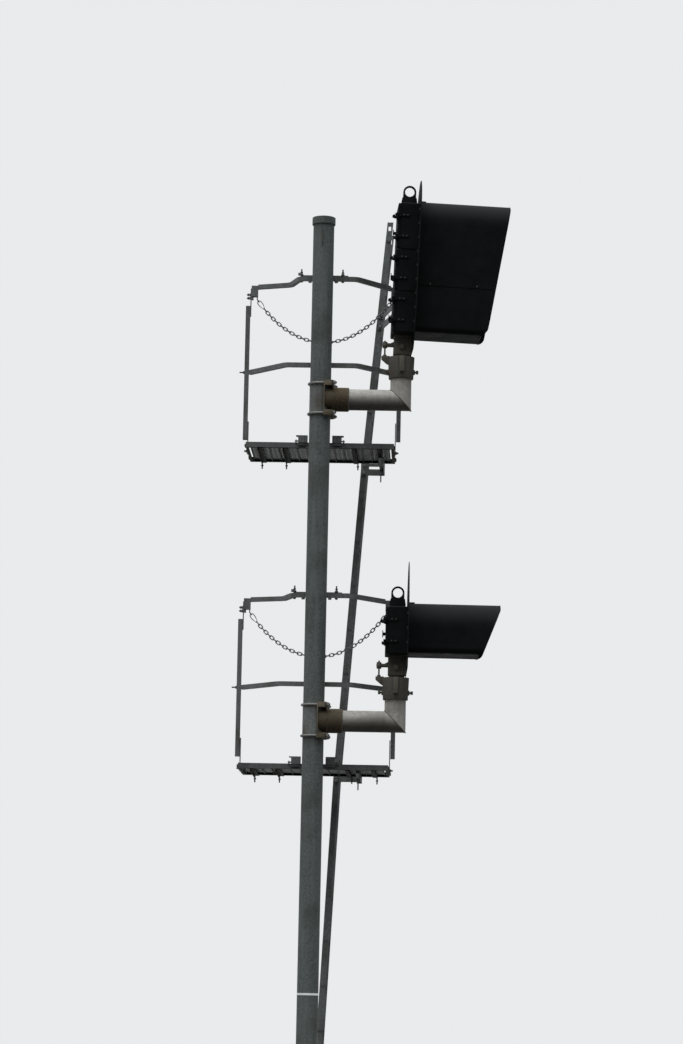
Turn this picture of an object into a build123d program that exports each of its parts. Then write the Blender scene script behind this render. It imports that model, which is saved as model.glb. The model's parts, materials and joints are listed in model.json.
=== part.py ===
from build123d import *
import os
from math import asinh, atan, cos, cosh, degrees, radians, sin, sinh, tan

# Railway signal mast with two colour-light heads, two work platforms and a leaning ladder.
# Millimetres. X is the way the heads face, Y runs from the mast to the ladder, Z is up.
# The origin is the centre of the base flange's underside, at ground level.

# Fits
seat_gap = 0.3            # between curved pieces that sit in or on each other
turn_gap = 0.4            # between pieces that turn on each other
overlap = 2.0             # fused pieces reach this far into each other, and cuts past a face

# Mast
mast_od = 141.3
mast_wall = 6.6
mast_height = 7127.0      # ground to the top of the cap
cap_od = 157.0
cap_rim = 49.0
cap_thickness = 8.0
cap_chamfer = 3.0
band_z = 1915.0
band_height = 14.0
band_thickness = 1.6
buckle_half = 16.0
buckle_height = 16.0
buckle_seat = 0.6
buckle_reach = 9.0
staple_x = -6.0
staple_below_top = 102.0
staple_height = 86.0
staple_rod_d = 9.0
staple_reach = 16.0

# Base casting, hidden below the picture
flange_width = 360.0
flange_thickness = 28.0
flange_corner = 40.0
anchor_spacing = 280.0
anchor_hole_d = 28.0
hub_height = 300.0
hub_od_low = 236.0
hub_od_top = 182.0
hub_floor = 20.0
base_rib_thickness = 16.0
base_rib_height = 200.0
base_rib_inset = 8.0      # from the flange's edge
base_rib_sink = 6.0
base_rib_toe = 10.0
base_rib_shoulder = 12.0

# Levels
upper_deck_drop = 1530.0  # from the mast's top to the upper platform's
level_spacing = 2165.0
arm_above_deck = 280.0
mid_rail_above_deck = 532.0
top_rail_above_deck = 1130.0

# Arm, an elbow of the mast's own pipe on a clamped saddle
arm_od = 141.3
arm_wall = 6.6
arm_reach = 540.0         # mast axis to stub axis
saddle_front = 24.0
saddle_back = 88.0
saddle_half_width = 92.0
saddle_half_height = 119.0
saddle_corner = 14.0
socket_od = 162.0
socket_end = 190.0
socket_floor = 96.0
neck_rim = 9.0
neck_length = 12.0
neck_taper = 30.0
u_bolt_d = 16.0
u_bolt_sides = 10
u_bolt_offset = 102.5     # above and below the arm's axis
u_bolt_end = 112.0
nut_flats = 24.0
nut_height = 13.0

# Head mount: a sleeve on the stub, a tongue on the sleeve and a tilting yoke
sleeve_low = 146.0        # above the arm's axis, as are the heights below
sleeve_top = 292.0
sleeve_od_low = 166.0
sleeve_od_top = 178.0
sleeve_lid = 16.0
sleeve_rib_width = 32.0
sleeve_rib_rise = 5.0
sleeve_rib_start = 12.0   # above the set screws
sleeve_boss_rise = 4.0
sleeve_boss_r = 17.0
set_screw_z = 194.0
set_screw_d = 14.0
set_screw_end = 116.0
set_screw_head = 22.0
set_screw_head_length = 17.0
pivot_z = 360.0
pivot_bolt_d = 20.0
pivot_head_flats = 32.0
pivot_head_length = 14.0
pivot_end = 10.0
tongue_half_length = 40.0
tongue_half_width = 34.0
tongue_nose_radius = 38.0
tongue_shoulder = 20.0
cheek_gap = 6.0
cheek_thickness = 12.0
cheek_low = 305.0
cheek_corner = 9.0
yoke_rear = -53.0
yoke_front = 66.0
yoke_web = 7.0
yoke_plate = 16.0
yoke_plate_rim = 6.0
yoke_nut_flats = 28.0
stud_back = 112.0         # behind the stub's axis
stud_d = 12.0
stud_low = 263.0
stud_top = 407.0
stud_nut_height = 10.0
stud_play = 3.4           # room for the yoke's arm to tilt round the stud
lug_low = 246.0
lug_top = 300.0
lug_half_width = 18.0
lug_rim = 22.0
lug_sink = 10.0
lug_nose = 20.0
lug_slope = 18.0
tilt_arm_z = 374.0
tilt_arm_thickness = 22.0
tilt_arm_half_width = 15.0
tilt_gusset_rise = 14.0
tilt_gusset_reach = 24.0
tilt_eye_rim = 3.0

# Heads
module_pitch = 288.0
case_bottom = 440.0
case_height = 316.0       # of a one-lamp case
case_rear = -53.0
case_front = 70.0
case_half_width = 140.0
case_wall = 5.0
case_corner = 8.0
seam_inset = 12.0
seam_rise = 4.0
seam_height = 8.0
lamp_z = 612.0            # the lowest lamp's axis
lens_ring_od = 250.0
lens_ring_bore = 213.0
lens_ring_length = 24.0
lens_thickness = 9.0
lens_dome = 12.0
lens_recess = 6.0
lens_sink = 4.0
bowl_end_od = 100.0
bowl_depth = 62.0
bowl_wall = 3.0
bowl_flange = 5.0
bowl_margin = 2.0
bowl_shoulder = 3.0
bowl_step = 2.0
bulb_neck_r = 9.0
bulb_neck_length = 22.0
bulb_reach = 26.0
bulb_r = 13.0
lamp_socket_od = 46.0
lamp_socket_length = 16.0
door_thickness = 21.0
door_wall = 6.0
door_half_width = 132.0
door_gap = 5.0            # between neighbouring doors
door_edge = 5.0
door_corner = 10.0
big_hinge_share = 0.76    # of the lamp pitch, up from a door's foot
small_hinge_share = 0.26
hinge_x = -82.0
hinge_y = -144.0
hinge_pin_d = 8.0
hinge_strap = 5.0
hinge_strap_inside = 1.0
hinge_strap_reach = 62.0
hinge_pin_extra = 4.0
door_strap_sink = 1.0
door_strap_reach = 45.0
big_knuckle_d = 24.0
small_knuckle_d = 14.0
knuckle_length = 18.0
knuckle_gap = 1.0
horn_reach = 31.0         # behind the pin, of a big hinge
horn_gap = 1.5
horn_half_width = 6.0
horn_tip_share = 1 / 3
knob_d = 22.0
knob_length = 20.0
knob_inset = 18.0
handle_thickness = 6.0
handle_half_width = 4.0
handle_half_length = 24.0
plate_thickness = 3.0
plate_gap = 0.3
plate_bottom = 330.0
lower_plate_radius = 457.2
upper_plate_radius = 325.0
plate_hole_d = 262.0
hood_length = 608.0
hood_half_width = 180.0
hood_bottom = 446.0
hood_wall = 3.0
hood_bend = 40.0
hood_brow = 45.0          # upright stretch of the front edge below its top
hood_corner = 62.0
hood_margin = 1.0
lower_hood_cut = 21.0     # degrees that the front edge leans back
upper_hood_cut = 8.0
hood_seam_z = 761.0
hood_lap = 22.0
hood_clip_length = 42.0
hood_clip_height = 7.0
hood_clip_half_width = 24.0
hood_clip_root = 4.0
hood_clip_seat = 1.5
eye_x = 2.0
eye_height = 106.0        # ring centre above the case
eye_od = 88.0
eye_bore = 64.0
eye_thickness = 16.0
eye_base_length = 108.0
eye_base_width = 44.0
eye_base_height = 68.0
eye_shoulder = 4.0
eye_shoulder_low = 34.0
eye_foot_height = 12.0
lower_tilt = 0.3          # degrees nose down, as found
upper_tilt = 1.9
lower_pan = 1.6           # degrees away from the near side, as found
upper_pan = 3.8

# Platforms
platform_half_length = 500.0
platform_near = 88.0
platform_depth = 610.0
frame_height = 35.0
frame_leg = 35.0
frame_end_leg = 20.0
frame_thickness = 5.0
plank_count = 15
plank_pitch = 62.8
plank_gap = 4.0
plank_height = 12.0
plank_wall = 3.0
joist_x = (-403.0, -235.0, 230.0, 402.0)
joist_width = 33.0
joist_height = 22.0
joist_bolt_d = 9.0
joist_bolt_drop = 50.0
joist_bolt_inset = 14.0
joist_inset = 8.0
joist_leg = 5.0
bracket_x = 83.0          # inner face of each mast bracket's box
bracket_width = 63.0
bracket_top = 47.0
bracket_low = 20.0
bracket_depth = 42.0
bracket_wall = 6.0
bracket_flange = 14.0
bracket_tie_height = 30.0
saddle_seat_half = 58.0
seat_wrap = 22.0          # how far a seat reaches round the mast
bracket_tie_rim = 10.0
bracket_tie_start = 6.0
bracket_shelf_back = 8.0
bracket_shelf_front = 4.0
bracket_shelf_low = 4.0
bracket_shelf_top = 2.0
bracket_room = 60.0
bracket_bolt_d = 10.0
bracket_bolt_y = 7.0
bracket_bolt_z = 8.0
bracket_bolt_start = 10.0
bracket_bolt_end = 12.0
bracket_bolt_sink = 1.0
bracket_head_flats = 18.0
bracket_head_height = 8.0

# Handrails
tube_size = 30.0
tube_wall = 3.0
post_x = 523.0
post_y = 384.0
post_low = 65.0           # above the deck
post_top = 996.0
strap_thickness = 6.0
foot_strap_top = 190.0
head_strap_low = 925.0
head_strap_drop = 20.0    # below the corner bracket's top
corner_length = 44.0
corner_depth = 40.0
corner_low = 1062.0
corner_top = 1137.0
corner_lug_low = 1041.0
corner_lug_width = 14.0
corner_sink = 0.5
post_bolt_d = 11.0
post_bolt_out = 26.0
post_bolt_rises = (11.0, 35.0)   # above the corner bracket's lug
post_nut_flats = 19.0
post_nut_height = 8.0
post_nut_sink = 1.0
foot_bolt_d = 10.0
foot_bolt_y = 9.0
foot_bolt_drop = 14.0
foot_bolt_reach = 26.0
rail_bar_low = -155.0
rail_bar_high = 170.0
left_end_x = -75.0
right_end_x = 70.0
rail_bar_height = 38.0
rail_bar_thickness = 12.0
mid_bend_x = 240.0
left_bend_x = -155.0
left_jog_x = -226.0
left_jog_y = 300.0
right_bend_x = 228.0
rail_bend_radius = 60.0
mid_seat = 6.0
mid_seat_half = 36.0
mid_seat_height = 28.0
left_end_shift = 10.0     # of the left rail's far end, from the posts' line
right_end_shift = 5.0
rail_bolt_x = (-147.0, 133.0)
rail_bolt_d = 10.0
rail_bolt_rise = 42.0
rail_bolt_drop = 12.0
rail_nut_flats = 20.0
rail_nut_height = 10.0
rail_nut_sink = 1.0
rail_nub_x = 89.0
rail_ear_rise = 8.0
rail_ear_half = 9.0
rail_ear_flats = 18.0
rail_ear_reach = 15.0

# Chain
link_wire = 7.0
link_pitch = 27.8         # inside length
link_inside = 12.6        # inside width
link_play = 0.4
link_count = 38
chain_eye_x = 456.0
chain_eye_drop = 27.0     # below the corner bracket
chain_eye_r = 11.0        # middle of its wire
chain_eye_wire = 7.0
hook_length = 75.0
hook_width = 33.0
hook_small = 15.0
hook_wire = 6.0

# Ladder
ladder_near = 806.0       # middle of the near stile
ladder_width = 406.0      # between the stiles' middles
stile_width = 41.0
stile_thickness = 10.0
ladder_foot_x = -20.0
ladder_lower_x = 136.0     # at the lower platform
ladder_upper_x = 287.0     # at the upper platform
ladder_top_x = 436.0
ladder_above_deck = 1700.0
ladder_slot_drop = 45.0
ladder_slot_half_width = 9.0
ladder_slot_half_height = 16.0
rung_d = 19.0
rung_sides = 8
rung_shoulder = 3.0
rung_pitch = 304.2
first_rung_z = 170.0
rung_top_gap = 100.0      # at least, above the last rung
rung_nut_flats = 22.0
rung_nut_height = 9.0
rung_nut_room = 3.0
rung_nut_length = 40.0
ladder_angle_thickness = 6.0
ladder_web_height = 45.0
ladder_arm_height = 38.0
ladder_arm_width = 36.0
ladder_arm_start = 300.0
ladder_top_bar = 16.0
ladder_bolt_drop = 45.0
ladder_bar_lap = 4.0
lower_bracket_x = 311.0    # outer side of the arm
upper_bracket_x = 428.0
stay_height = 45.0
stay_levels = (953.0, 1031.0)
stay_thickness = 6.0
stay_start = 16.0
stay_bend = 20.0
stay_post_bend = 40.0
stay_end = 12.0
stay_radius = 14.0
upper_bracket_drop = 22.0

mast_r = mast_od / 2
arm_r = arm_od / 2
upper_deck_z = mast_height - upper_deck_drop
lower_deck_z = upper_deck_z - level_spacing
cheek_inner = tongue_half_width + cheek_gap
cheek_outer = cheek_inner + cheek_thickness
yoke_top = case_bottom - seat_gap
plate_x = case_front + plate_gap
hood_x = plate_x + plate_thickness + plate_gap
door_front = case_rear - seat_gap
door_back = door_front - door_thickness
platform_far = platform_near + platform_depth
rail_y = mast_r + seat_gap + mid_seat + tube_size / 2
top_rail_y = mast_r + seat_gap + rail_bar_thickness + tube_size / 2
post_inner = post_x - tube_size / 2
corner_x = post_inner - strap_thickness - corner_length - 2 * seat_gap
deck_edge = platform_near + frame_thickness + seat_gap
ladder_top_z = upper_deck_z + ladder_above_deck
ladder_knots = ((ladder_foot_x, 0.0), (ladder_lower_x, lower_deck_z),
                (ladder_upper_x, upper_deck_z), (ladder_top_x, ladder_top_z))
rung_count = int((ladder_top_z - rung_top_gap - first_rung_z) // rung_pitch) + 1


def block(x, y, z):
    # A box between two limits on each axis
    centre = ((x[0] + x[1]) / 2, (y[0] + y[1]) / 2, (z[0] + z[1]) / 2)
    return Pos(*centre) * Box(x[1] - x[0], y[1] - y[0], z[1] - z[0])


def rod(start, end, radius):
    way = Vector(*end) - Vector(*start)
    return extrude(Plane(origin=start, z_dir=way) * Circle(radius), way.length)


def hexagon(start, end, flats):
    way = Vector(*end) - Vector(*start)
    outline = RegularPolygon(flats / 2, 6, major_radius=False)
    return extrude(Plane(origin=start, z_dir=way) * outline, way.length)


def tube(start, end, outer, inner):
    return rod(start, end, outer) - rod(start, end, inner)


def side_prism(points, half_width):
    # A profile drawn in X and Z, thickened both ways along Y
    return extrude(Plane.XZ * make_face(Polyline(*points, close=True)), half_width, both=True)


def fused(pieces):
    whole = pieces[0]
    for piece in pieces[1:]:
        whole = whole + piece
    return whole


def polygon_sweep(points, radius, sides=6, closed=True):
    # A bar of few sides along straight runs with mitred corners
    start = Vector(*points[0])
    way = Vector(*points[1]) - start
    if closed:
        # It starts inside the first run, so that every corner gets its mitre
        start = start + way * 0.5
        points = [tuple(start), *points[1:], points[0], tuple(start)]
    section = Plane(origin=start, z_dir=way) * RegularPolygon(radius, sides)
    return sweep(section, path=Polyline(*points).wire(), transition=Transition.RIGHT)


# Mast and base

def make_mast():
    return tube((0, 0, hub_floor), (0, 0, mast_height - cap_thickness), mast_r, mast_r - mast_wall)


def make_mast_cap():
    cap = rod((0, 0, mast_height - cap_rim), (0, 0, mast_height), cap_od / 2)
    cap = chamfer(cap.edges().group_by(Axis.Z)[-1], cap_chamfer)
    mouth = rod((0, 0, mast_height - cap_rim), (0, 0, mast_height - cap_thickness), mast_r + seat_gap)
    return cap - mouth


def make_mast_base():
    base = extrude(RectangleRounded(flange_width, flange_width, flange_corner), flange_thickness)
    hub = Pos(0, 0, hub_height / 2) * Cone(hub_od_low / 2, hub_od_top / 2, hub_height)
    rib_reach = flange_width / 2 - base_rib_inset
    rib_root = hub_od_top / 2 - base_rib_sink
    rib_low, rib_top = flange_thickness - overlap, flange_thickness + base_rib_height
    rib_profile = [(rib_root, rib_low), (rib_reach, rib_low), (rib_reach, flange_thickness + base_rib_toe),
                   (rib_root + base_rib_shoulder, rib_top), (rib_root, rib_top)]
    rib = side_prism(rib_profile, base_rib_thickness / 2)
    base = base + hub + [Rot(0, 0, turn) * rib for turn in (0, 90, 180, 270)]
    base -= rod((0, 0, hub_floor), (0, 0, hub_height), mast_r + seat_gap)
    holes = GridLocations(anchor_spacing, anchor_spacing, 2, 2)
    base -= holes * Cylinder(anchor_hole_d / 2, 4 * flange_thickness)
    return base


def make_mast_band():
    inner = mast_r + seat_gap
    low, high = band_z - band_height / 2, band_z + band_height / 2
    band = tube((0, 0, low), (0, 0, high), inner + band_thickness, inner)
    buckle = block((-buckle_half, buckle_half), (inner + buckle_seat, inner + buckle_reach),
                   (band_z - buckle_height / 2, band_z + buckle_height / 2))
    return band + buckle


def make_mast_staple():
    # A small steel staple on the near face of the mast, just under the cap
    face = -(mast_r + seat_gap)
    reach = face - staple_reach
    high = mast_height - staple_below_top
    low = high - staple_height
    points = [(staple_x, y, z) for y, z in ((face, low), (reach, low), (reach, high), (face, high))]
    return polygon_sweep(points, staple_rod_d / 2, closed=False)


# Arm, saddle and U-bolts, with z at the arm's axis

def make_arm(z):
    mitre = Plane(origin=(arm_reach, 0, z), z_dir=(1, 0, 1))
    stub_top = z + sleeve_top - sleeve_lid - turn_gap
    level = tube((socket_floor, 0, z), (arm_reach + arm_od, 0, z), arm_r, arm_r - arm_wall)
    upright = tube((arm_reach, 0, z - arm_od), (arm_reach, 0, stub_top), arm_r, arm_r - arm_wall)
    level = split(level, bisect_by=mitre, keep=Keep.BOTTOM)
    upright = split(upright, bisect_by=mitre, keep=Keep.TOP)
    return level + upright


def make_arm_saddle(z):
    body = block((saddle_front, saddle_back), (-saddle_half_width, saddle_half_width),
                 (z - saddle_half_height, z + saddle_half_height))
    body = fillet(body.edges().filter_by(Axis.Z).group_by(Axis.X)[-1], saddle_corner)
    neck_plane = Plane(origin=(saddle_back - overlap, 0, z), z_dir=(1, 0, 0))
    neck = extrude(neck_plane * Circle(socket_od / 2 + neck_rim), neck_length, taper=neck_taper)
    socket = rod((saddle_back - overlap, 0, z), (socket_end, 0, z), socket_od / 2)
    body = body + neck + socket
    body -= rod((0, 0, z - saddle_half_height), (0, 0, z + saddle_half_height), mast_r + seat_gap)
    body -= rod((socket_floor, 0, z), (socket_end, 0, z), arm_r + seat_gap)
    leg_y = mast_r + seat_gap + u_bolt_d / 2
    for rise in (-u_bolt_offset, u_bolt_offset):
        for side in (-leg_y, leg_y):
            end = saddle_back + overlap
            body -= rod((0, side, z + rise), (end, side, z + rise), u_bolt_d / 2 + seat_gap)
    return body


def make_u_bolt(z):
    bend = mast_r + seat_gap + u_bolt_d / 2
    legs = Line((u_bolt_end, -bend, z), (0, -bend, z))
    bow = ThreePointArc((0, -bend, z), (-bend, 0, z), (0, bend, z))
    back = Line((0, bend, z), (u_bolt_end, bend, z))
    section = Plane(origin=(u_bolt_end, -bend, z), z_dir=(-1, 0, 0))
    section = section * RegularPolygon(u_bolt_d / 2, u_bolt_sides)
    bolt = sweep(section, path=Wire([*legs.edges(), *bow.edges(), *back.edges()]))
    nut_start = saddle_back + seat_gap
    for side in (-bend, bend):
        bolt += hexagon((nut_start, side, z), (nut_start + nut_height, side, z), nut_flats)
    return bolt


def make_arm_u_bolts(z):
    return [make_u_bolt(z - u_bolt_offset), make_u_bolt(z + u_bolt_offset)]


# Head pieces are drawn about the stub's axis, with heights above the arm's axis

def make_sleeve():
    outline = [(0, sleeve_low), (sleeve_od_low / 2, sleeve_low), (sleeve_od_top / 2, sleeve_top),
               (0, sleeve_top)]
    sleeve = revolve(Plane.XZ * make_face(Polyline(*outline, close=True)), Axis.Z)
    rib_reach = sleeve_od_top / 2 + sleeve_rib_rise
    rib = block((-sleeve_rib_width / 2, sleeve_rib_width / 2), (-rib_reach, rib_reach),
                (set_screw_z + sleeve_rib_start, sleeve_top))
    boss_reach = sleeve_od_top / 2 + sleeve_boss_rise
    bosses = [rod((-boss_reach, 0, set_screw_z), (boss_reach, 0, set_screw_z), sleeve_boss_r),
              rod((0, -boss_reach, set_screw_z), (0, boss_reach, set_screw_z), sleeve_boss_r)]
    tongue = block((-tongue_half_length, tongue_half_length), (-tongue_half_width, tongue_half_width),
                   (sleeve_top - overlap, pivot_z - tongue_shoulder))
    nose = rod((0, -tongue_half_width, pivot_z), (0, tongue_half_width, pivot_z), tongue_nose_radius)
    lug_end = -stud_back - lug_rim
    lug_root = -sleeve_od_top / 2 + lug_sink
    lug = side_prism([(lug_root, lug_top), (lug_end, lug_top), (lug_end, lug_top - lug_nose),
                      (-stud_back + lug_slope, lug_low), (lug_root, lug_low)], lug_half_width)
    sleeve = fused([sleeve, rib, *bosses, tongue, nose, lug])
    stub_room = sleeve_top - sleeve_lid
    sleeve -= rod((0, 0, sleeve_low - overlap), (0, 0, stub_room), arm_r + turn_gap)
    past = rib_reach + overlap
    sleeve -= rod((0, -past, pivot_z), (0, past, pivot_z), pivot_bolt_d / 2 + seat_gap)
    sleeve -= rod((-stud_back, 0, stud_low - seat_gap), (-stud_back, 0, lug_top + overlap),
                  stud_d / 2 + seat_gap)
    hole = set_screw_d / 2 + seat_gap
    sleeve -= rod((-past, 0, set_screw_z), (past, 0, set_screw_z), hole)
    sleeve -= rod((0, -past, set_screw_z), (0, past, set_screw_z), hole)
    return sleeve


def make_mount_bolts():
    head_start = cheek_outer + turn_gap
    head_end = head_start + pivot_head_length
    pivot = rod((0, -head_end, pivot_z), (0, head_end + pivot_end, pivot_z), pivot_bolt_d / 2)
    pivot += hexagon((0, -head_end, pivot_z), (0, -head_start, pivot_z), pivot_head_flats)
    pivot += hexagon((0, head_start, pivot_z), (0, head_end, pivot_z), pivot_head_flats)
    stud = rod((-stud_back, 0, stud_low), (-stud_back, 0, stud_top), stud_d / 2)
    nut_low = lug_top + seat_gap
    stud += hexagon((-stud_back, 0, nut_low), (-stud_back, 0, nut_low + stud_nut_height), nut_flats)
    bolts = [pivot, stud]
    tip = arm_r + turn_gap
    screw = rod((tip, 0, set_screw_z), (set_screw_end, 0, set_screw_z), set_screw_d / 2)
    head_low = set_screw_end - set_screw_head_length
    half = set_screw_head / 2
    screw += block((head_low, set_screw_end), (-half, half), (set_screw_z - half, set_screw_z + half))
    bolts += [Rot(0, 0, turn) * screw for turn in (0, 90, 180, 270)]
    return bolts


def make_yoke():
    plate_half = cheek_outer + yoke_plate_rim
    plate = block((yoke_rear, yoke_front), (-plate_half, plate_half), (yoke_top - yoke_plate, yoke_top))
    cut, cheek_top = cheek_corner, yoke_top - overlap
    cheek_profile = [(yoke_rear, cheek_top), (yoke_rear, cheek_low + cut), (yoke_rear + cut, cheek_low),
                     (yoke_front - cut, cheek_low), (yoke_front, cheek_low + cut), (yoke_front, cheek_top)]
    cheek = side_prism(cheek_profile, cheek_thickness / 2)
    middle = (cheek_inner + cheek_outer) / 2
    half = tilt_arm_thickness / 2
    web = block((yoke_rear, yoke_rear + yoke_web), (-cheek_outer, cheek_outer),
                (tilt_arm_z - half, cheek_top))
    root, arm_low, arm_top = yoke_rear + overlap, tilt_arm_z - half, tilt_arm_z + half
    arm_profile = [(root, arm_top + tilt_gusset_rise), (yoke_rear - tilt_gusset_reach, arm_top),
                   (-stud_back, arm_top), (-stud_back, arm_low), (root, arm_low)]
    arm = side_prism(arm_profile, tilt_arm_half_width)
    eye = rod((-stud_back, 0, arm_low), (-stud_back, 0, arm_top), tilt_arm_half_width + tilt_eye_rim)
    yoke = fused([plate, Pos(0, -middle, 0) * cheek, Pos(0, middle, 0) * cheek, web, arm, eye])
    yoke -= rod((0, -plate_half, pivot_z), (0, plate_half, pivot_z), pivot_bolt_d / 2 + seat_gap)
    slot_half = half + seat_gap + stud_nut_height + overlap
    slot = rod((-stud_back, 0, tilt_arm_z - slot_half), (-stud_back, 0, tilt_arm_z + slot_half),
               stud_d / 2 + stud_play)
    nuts = []
    for start in (arm_low - seat_gap - stud_nut_height, arm_top + seat_gap):
        nut = hexagon((-stud_back, 0, start), (-stud_back, 0, start + stud_nut_height), yoke_nut_flats)
        nuts.append(nut - slot)
    return [yoke - slot, *nuts]


def lamp_heights(count):
    return [lamp_z + index * module_pitch for index in range(count)]


def hinge_heights(index):
    # The big hinge sits a quarter down from a door's top, the small one a quarter up
    low = case_bottom + index * module_pitch
    return low + big_hinge_share * module_pitch, low + small_hinge_share * module_pitch


def case_top(count):
    return case_bottom + case_height + (count - 1) * module_pitch


def case_knuckle(z, diameter):
    # The case's half of a hinge: a strap on the near side, a knuckle and the pin
    strap = block((hinge_x, case_rear + hinge_strap_reach),
                  (-case_half_width - hinge_strap, hinge_strap_inside - case_half_width),
                  (z, z + knuckle_length))
    knuckle = rod((hinge_x, hinge_y, z), (hinge_x, hinge_y, z + knuckle_length), diameter / 2)
    pin_low = z - knuckle_length - hinge_pin_extra
    pin = rod((hinge_x, hinge_y, pin_low), (hinge_x, hinge_y, z), hinge_pin_d / 2)
    return [strap, knuckle, pin]


def make_case(count):
    top = case_top(count)
    shell = block((case_rear, case_front), (-case_half_width, case_half_width), (case_bottom, top))
    shell = fillet(shell.edges().filter_by(Axis.X), case_corner)
    for index in range(count):
        low = case_bottom + case_wall + index * module_pitch
        high = low + module_pitch - case_wall if index < count - 1 else top - case_wall
        room_half = case_half_width - case_wall
        shell -= block((case_rear - overlap, case_front - case_wall), (-room_half, room_half), (low, high))
    for index in range(1, count):
        seam = case_bottom + index * module_pitch + case_wall / 2
        reach, inside = case_half_width + seam_rise, case_half_width - overlap
        ring = block((case_rear + seam_inset, case_front - seam_inset), (-reach, reach),
                     (seam - seam_height / 2, seam + seam_height / 2))
        shell += ring - block((case_rear, case_front), (-inside, inside),
                              (seam - seam_height, seam + seam_height))
    for z in lamp_heights(count):
        ring_end = case_front + lens_ring_length
        shell += rod((case_front - overlap, 0, z), (ring_end, 0, z), lens_ring_od / 2)
        shell -= rod((case_front - case_wall - overlap, 0, z), (ring_end + overlap, 0, z), lens_ring_bore / 2)
    for index in range(count):
        big, small = hinge_heights(index)
        for piece in case_knuckle(big, big_knuckle_d) + case_knuckle(small, small_knuckle_d):
            shell += piece
    return shell


def hinge_horn(low, high, diameter):
    # The tapered end of a hinge strap, behind its knuckle and clear of the case's half
    tip_x = hinge_x - horn_reach * diameter / big_knuckle_d
    side_x = hinge_x - diameter / 2 - horn_gap
    tip_low, tip_high = low + (high - low) * horn_tip_share, high + horn_gap
    profile = [(hinge_x, low), (hinge_x, high), (side_x, high), (side_x, high + diameter / 2),
               (tip_x, tip_high), (tip_x, tip_low), (side_x, low)]
    return Pos(0, hinge_y, 0) * side_prism(profile, horn_half_width)


def make_door(index, count):
    low = case_bottom + index * module_pitch + door_gap / 2
    high = low + module_pitch - door_gap
    if index == count - 1:
        high = case_top(count) - door_gap / 2
    door = block((door_back, door_front), (-door_half_width, door_half_width), (low, high))
    door = fillet(door.edges().filter_by(Axis.X), door_corner)
    door = chamfer(door.faces().sort_by(Axis.X)[0].edges(), door_edge)
    room_half = door_half_width - door_wall
    door -= block((door_back + door_wall, door_front + overlap), (-room_half, room_half),
                  (low + door_wall, high - door_wall))
    big, small = hinge_heights(index)
    for z, diameter in ((big, big_knuckle_d), (small, small_knuckle_d)):
        top = z - knuckle_gap
        bottom = top - knuckle_length
        door += rod((hinge_x, hinge_y, bottom), (hinge_x, hinge_y, top), diameter / 2)
        door += block((hinge_x, door_back + door_strap_sink), (hinge_y, door_strap_reach - door_half_width),
                      (bottom, top))
        door += hinge_horn(bottom, top, diameter)
        door -= rod((hinge_x, hinge_y, bottom - overlap), (hinge_x, hinge_y, top + overlap),
                    hinge_pin_d / 2 + seat_gap)
    knob_y = door_half_width - knob_inset
    knob_z = (low + high) / 2
    door += rod((door_back - knob_length, knob_y, knob_z), (door_back + overlap, knob_y, knob_z), knob_d / 2)
    door += block((door_back - knob_length, door_back - knob_length + handle_thickness),
                  (knob_y - handle_half_width, knob_y + handle_half_width),
                  (knob_z - handle_half_length, knob_z + handle_half_length))
    return door


def make_lens(z):
    front = case_front + lens_ring_length - lens_recess
    back = front - lens_thickness
    radius = lens_ring_bore / 2 - seat_gap
    apex = front + lens_dome - lens_sink
    dome_radius = (radius ** 2 + lens_dome ** 2) / (2 * lens_dome)
    disc = rod((back, 0, z), (apex + overlap, 0, z), radius)
    return disc & (Pos(apex - dome_radius, 0, z) * Sphere(dome_radius))


def make_lamp_unit(z):
    mouth = case_front - case_wall - seat_gap
    root = mouth - bowl_depth
    wide, narrow = lens_ring_bore / 2 - bowl_margin, bowl_end_od / 2
    rim, back = wide + bowl_flange, root - bowl_wall
    outline = [(mouth, wide), (mouth, rim), (mouth - bowl_wall, rim),
               (mouth - bowl_wall - bowl_step, wide + bowl_shoulder), (back, narrow), (back, 0),
               (root, 0), (root, narrow - 1)]
    bowl = revolve(make_face(Polyline(*outline, close=True)), Axis.X)
    socket = rod((back - lamp_socket_length, 0, 0), (root - overlap, 0, 0), lamp_socket_od / 2)
    bulb = rod((root - overlap, 0, 0), (root + bulb_neck_length, 0, 0), bulb_neck_r)
    bulb += Pos(root + bulb_reach, 0, 0) * Sphere(bulb_r)
    return Pos(0, 0, z) * (bowl + socket + bulb)


def capsule(half_width, low_centre, high_centre):
    # Round ends about two heights, drawn in Y and Z
    outline = Plane.YZ * Rectangle(2 * half_width, max(high_centre - low_centre, 0.001))
    outline = Pos(0, 0, (low_centre + high_centre) / 2) * outline
    ends = [Pos(0, 0, z) * (Plane.YZ * Circle(half_width)) for z in (low_centre, high_centre)]
    return outline + ends


def make_backplate(count, radius):
    heights = lamp_heights(count)
    if count == 1:
        outline = Pos(0, 0, heights[0]) * (Plane.YZ * Circle(radius))
    else:
        outline = capsule(radius, heights[0], heights[-1])
    plate = Pos(plate_x, 0, 0) * extrude(outline, plate_thickness)
    back, front = plate_x - overlap, plate_x + plate_thickness + overlap
    plate -= block((back, front), (-radius, radius), (-radius, plate_bottom))
    for z in heights:
        plate -= rod((back, 0, z), (front, 0, z), plate_hole_d / 2)
    return plate


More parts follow.
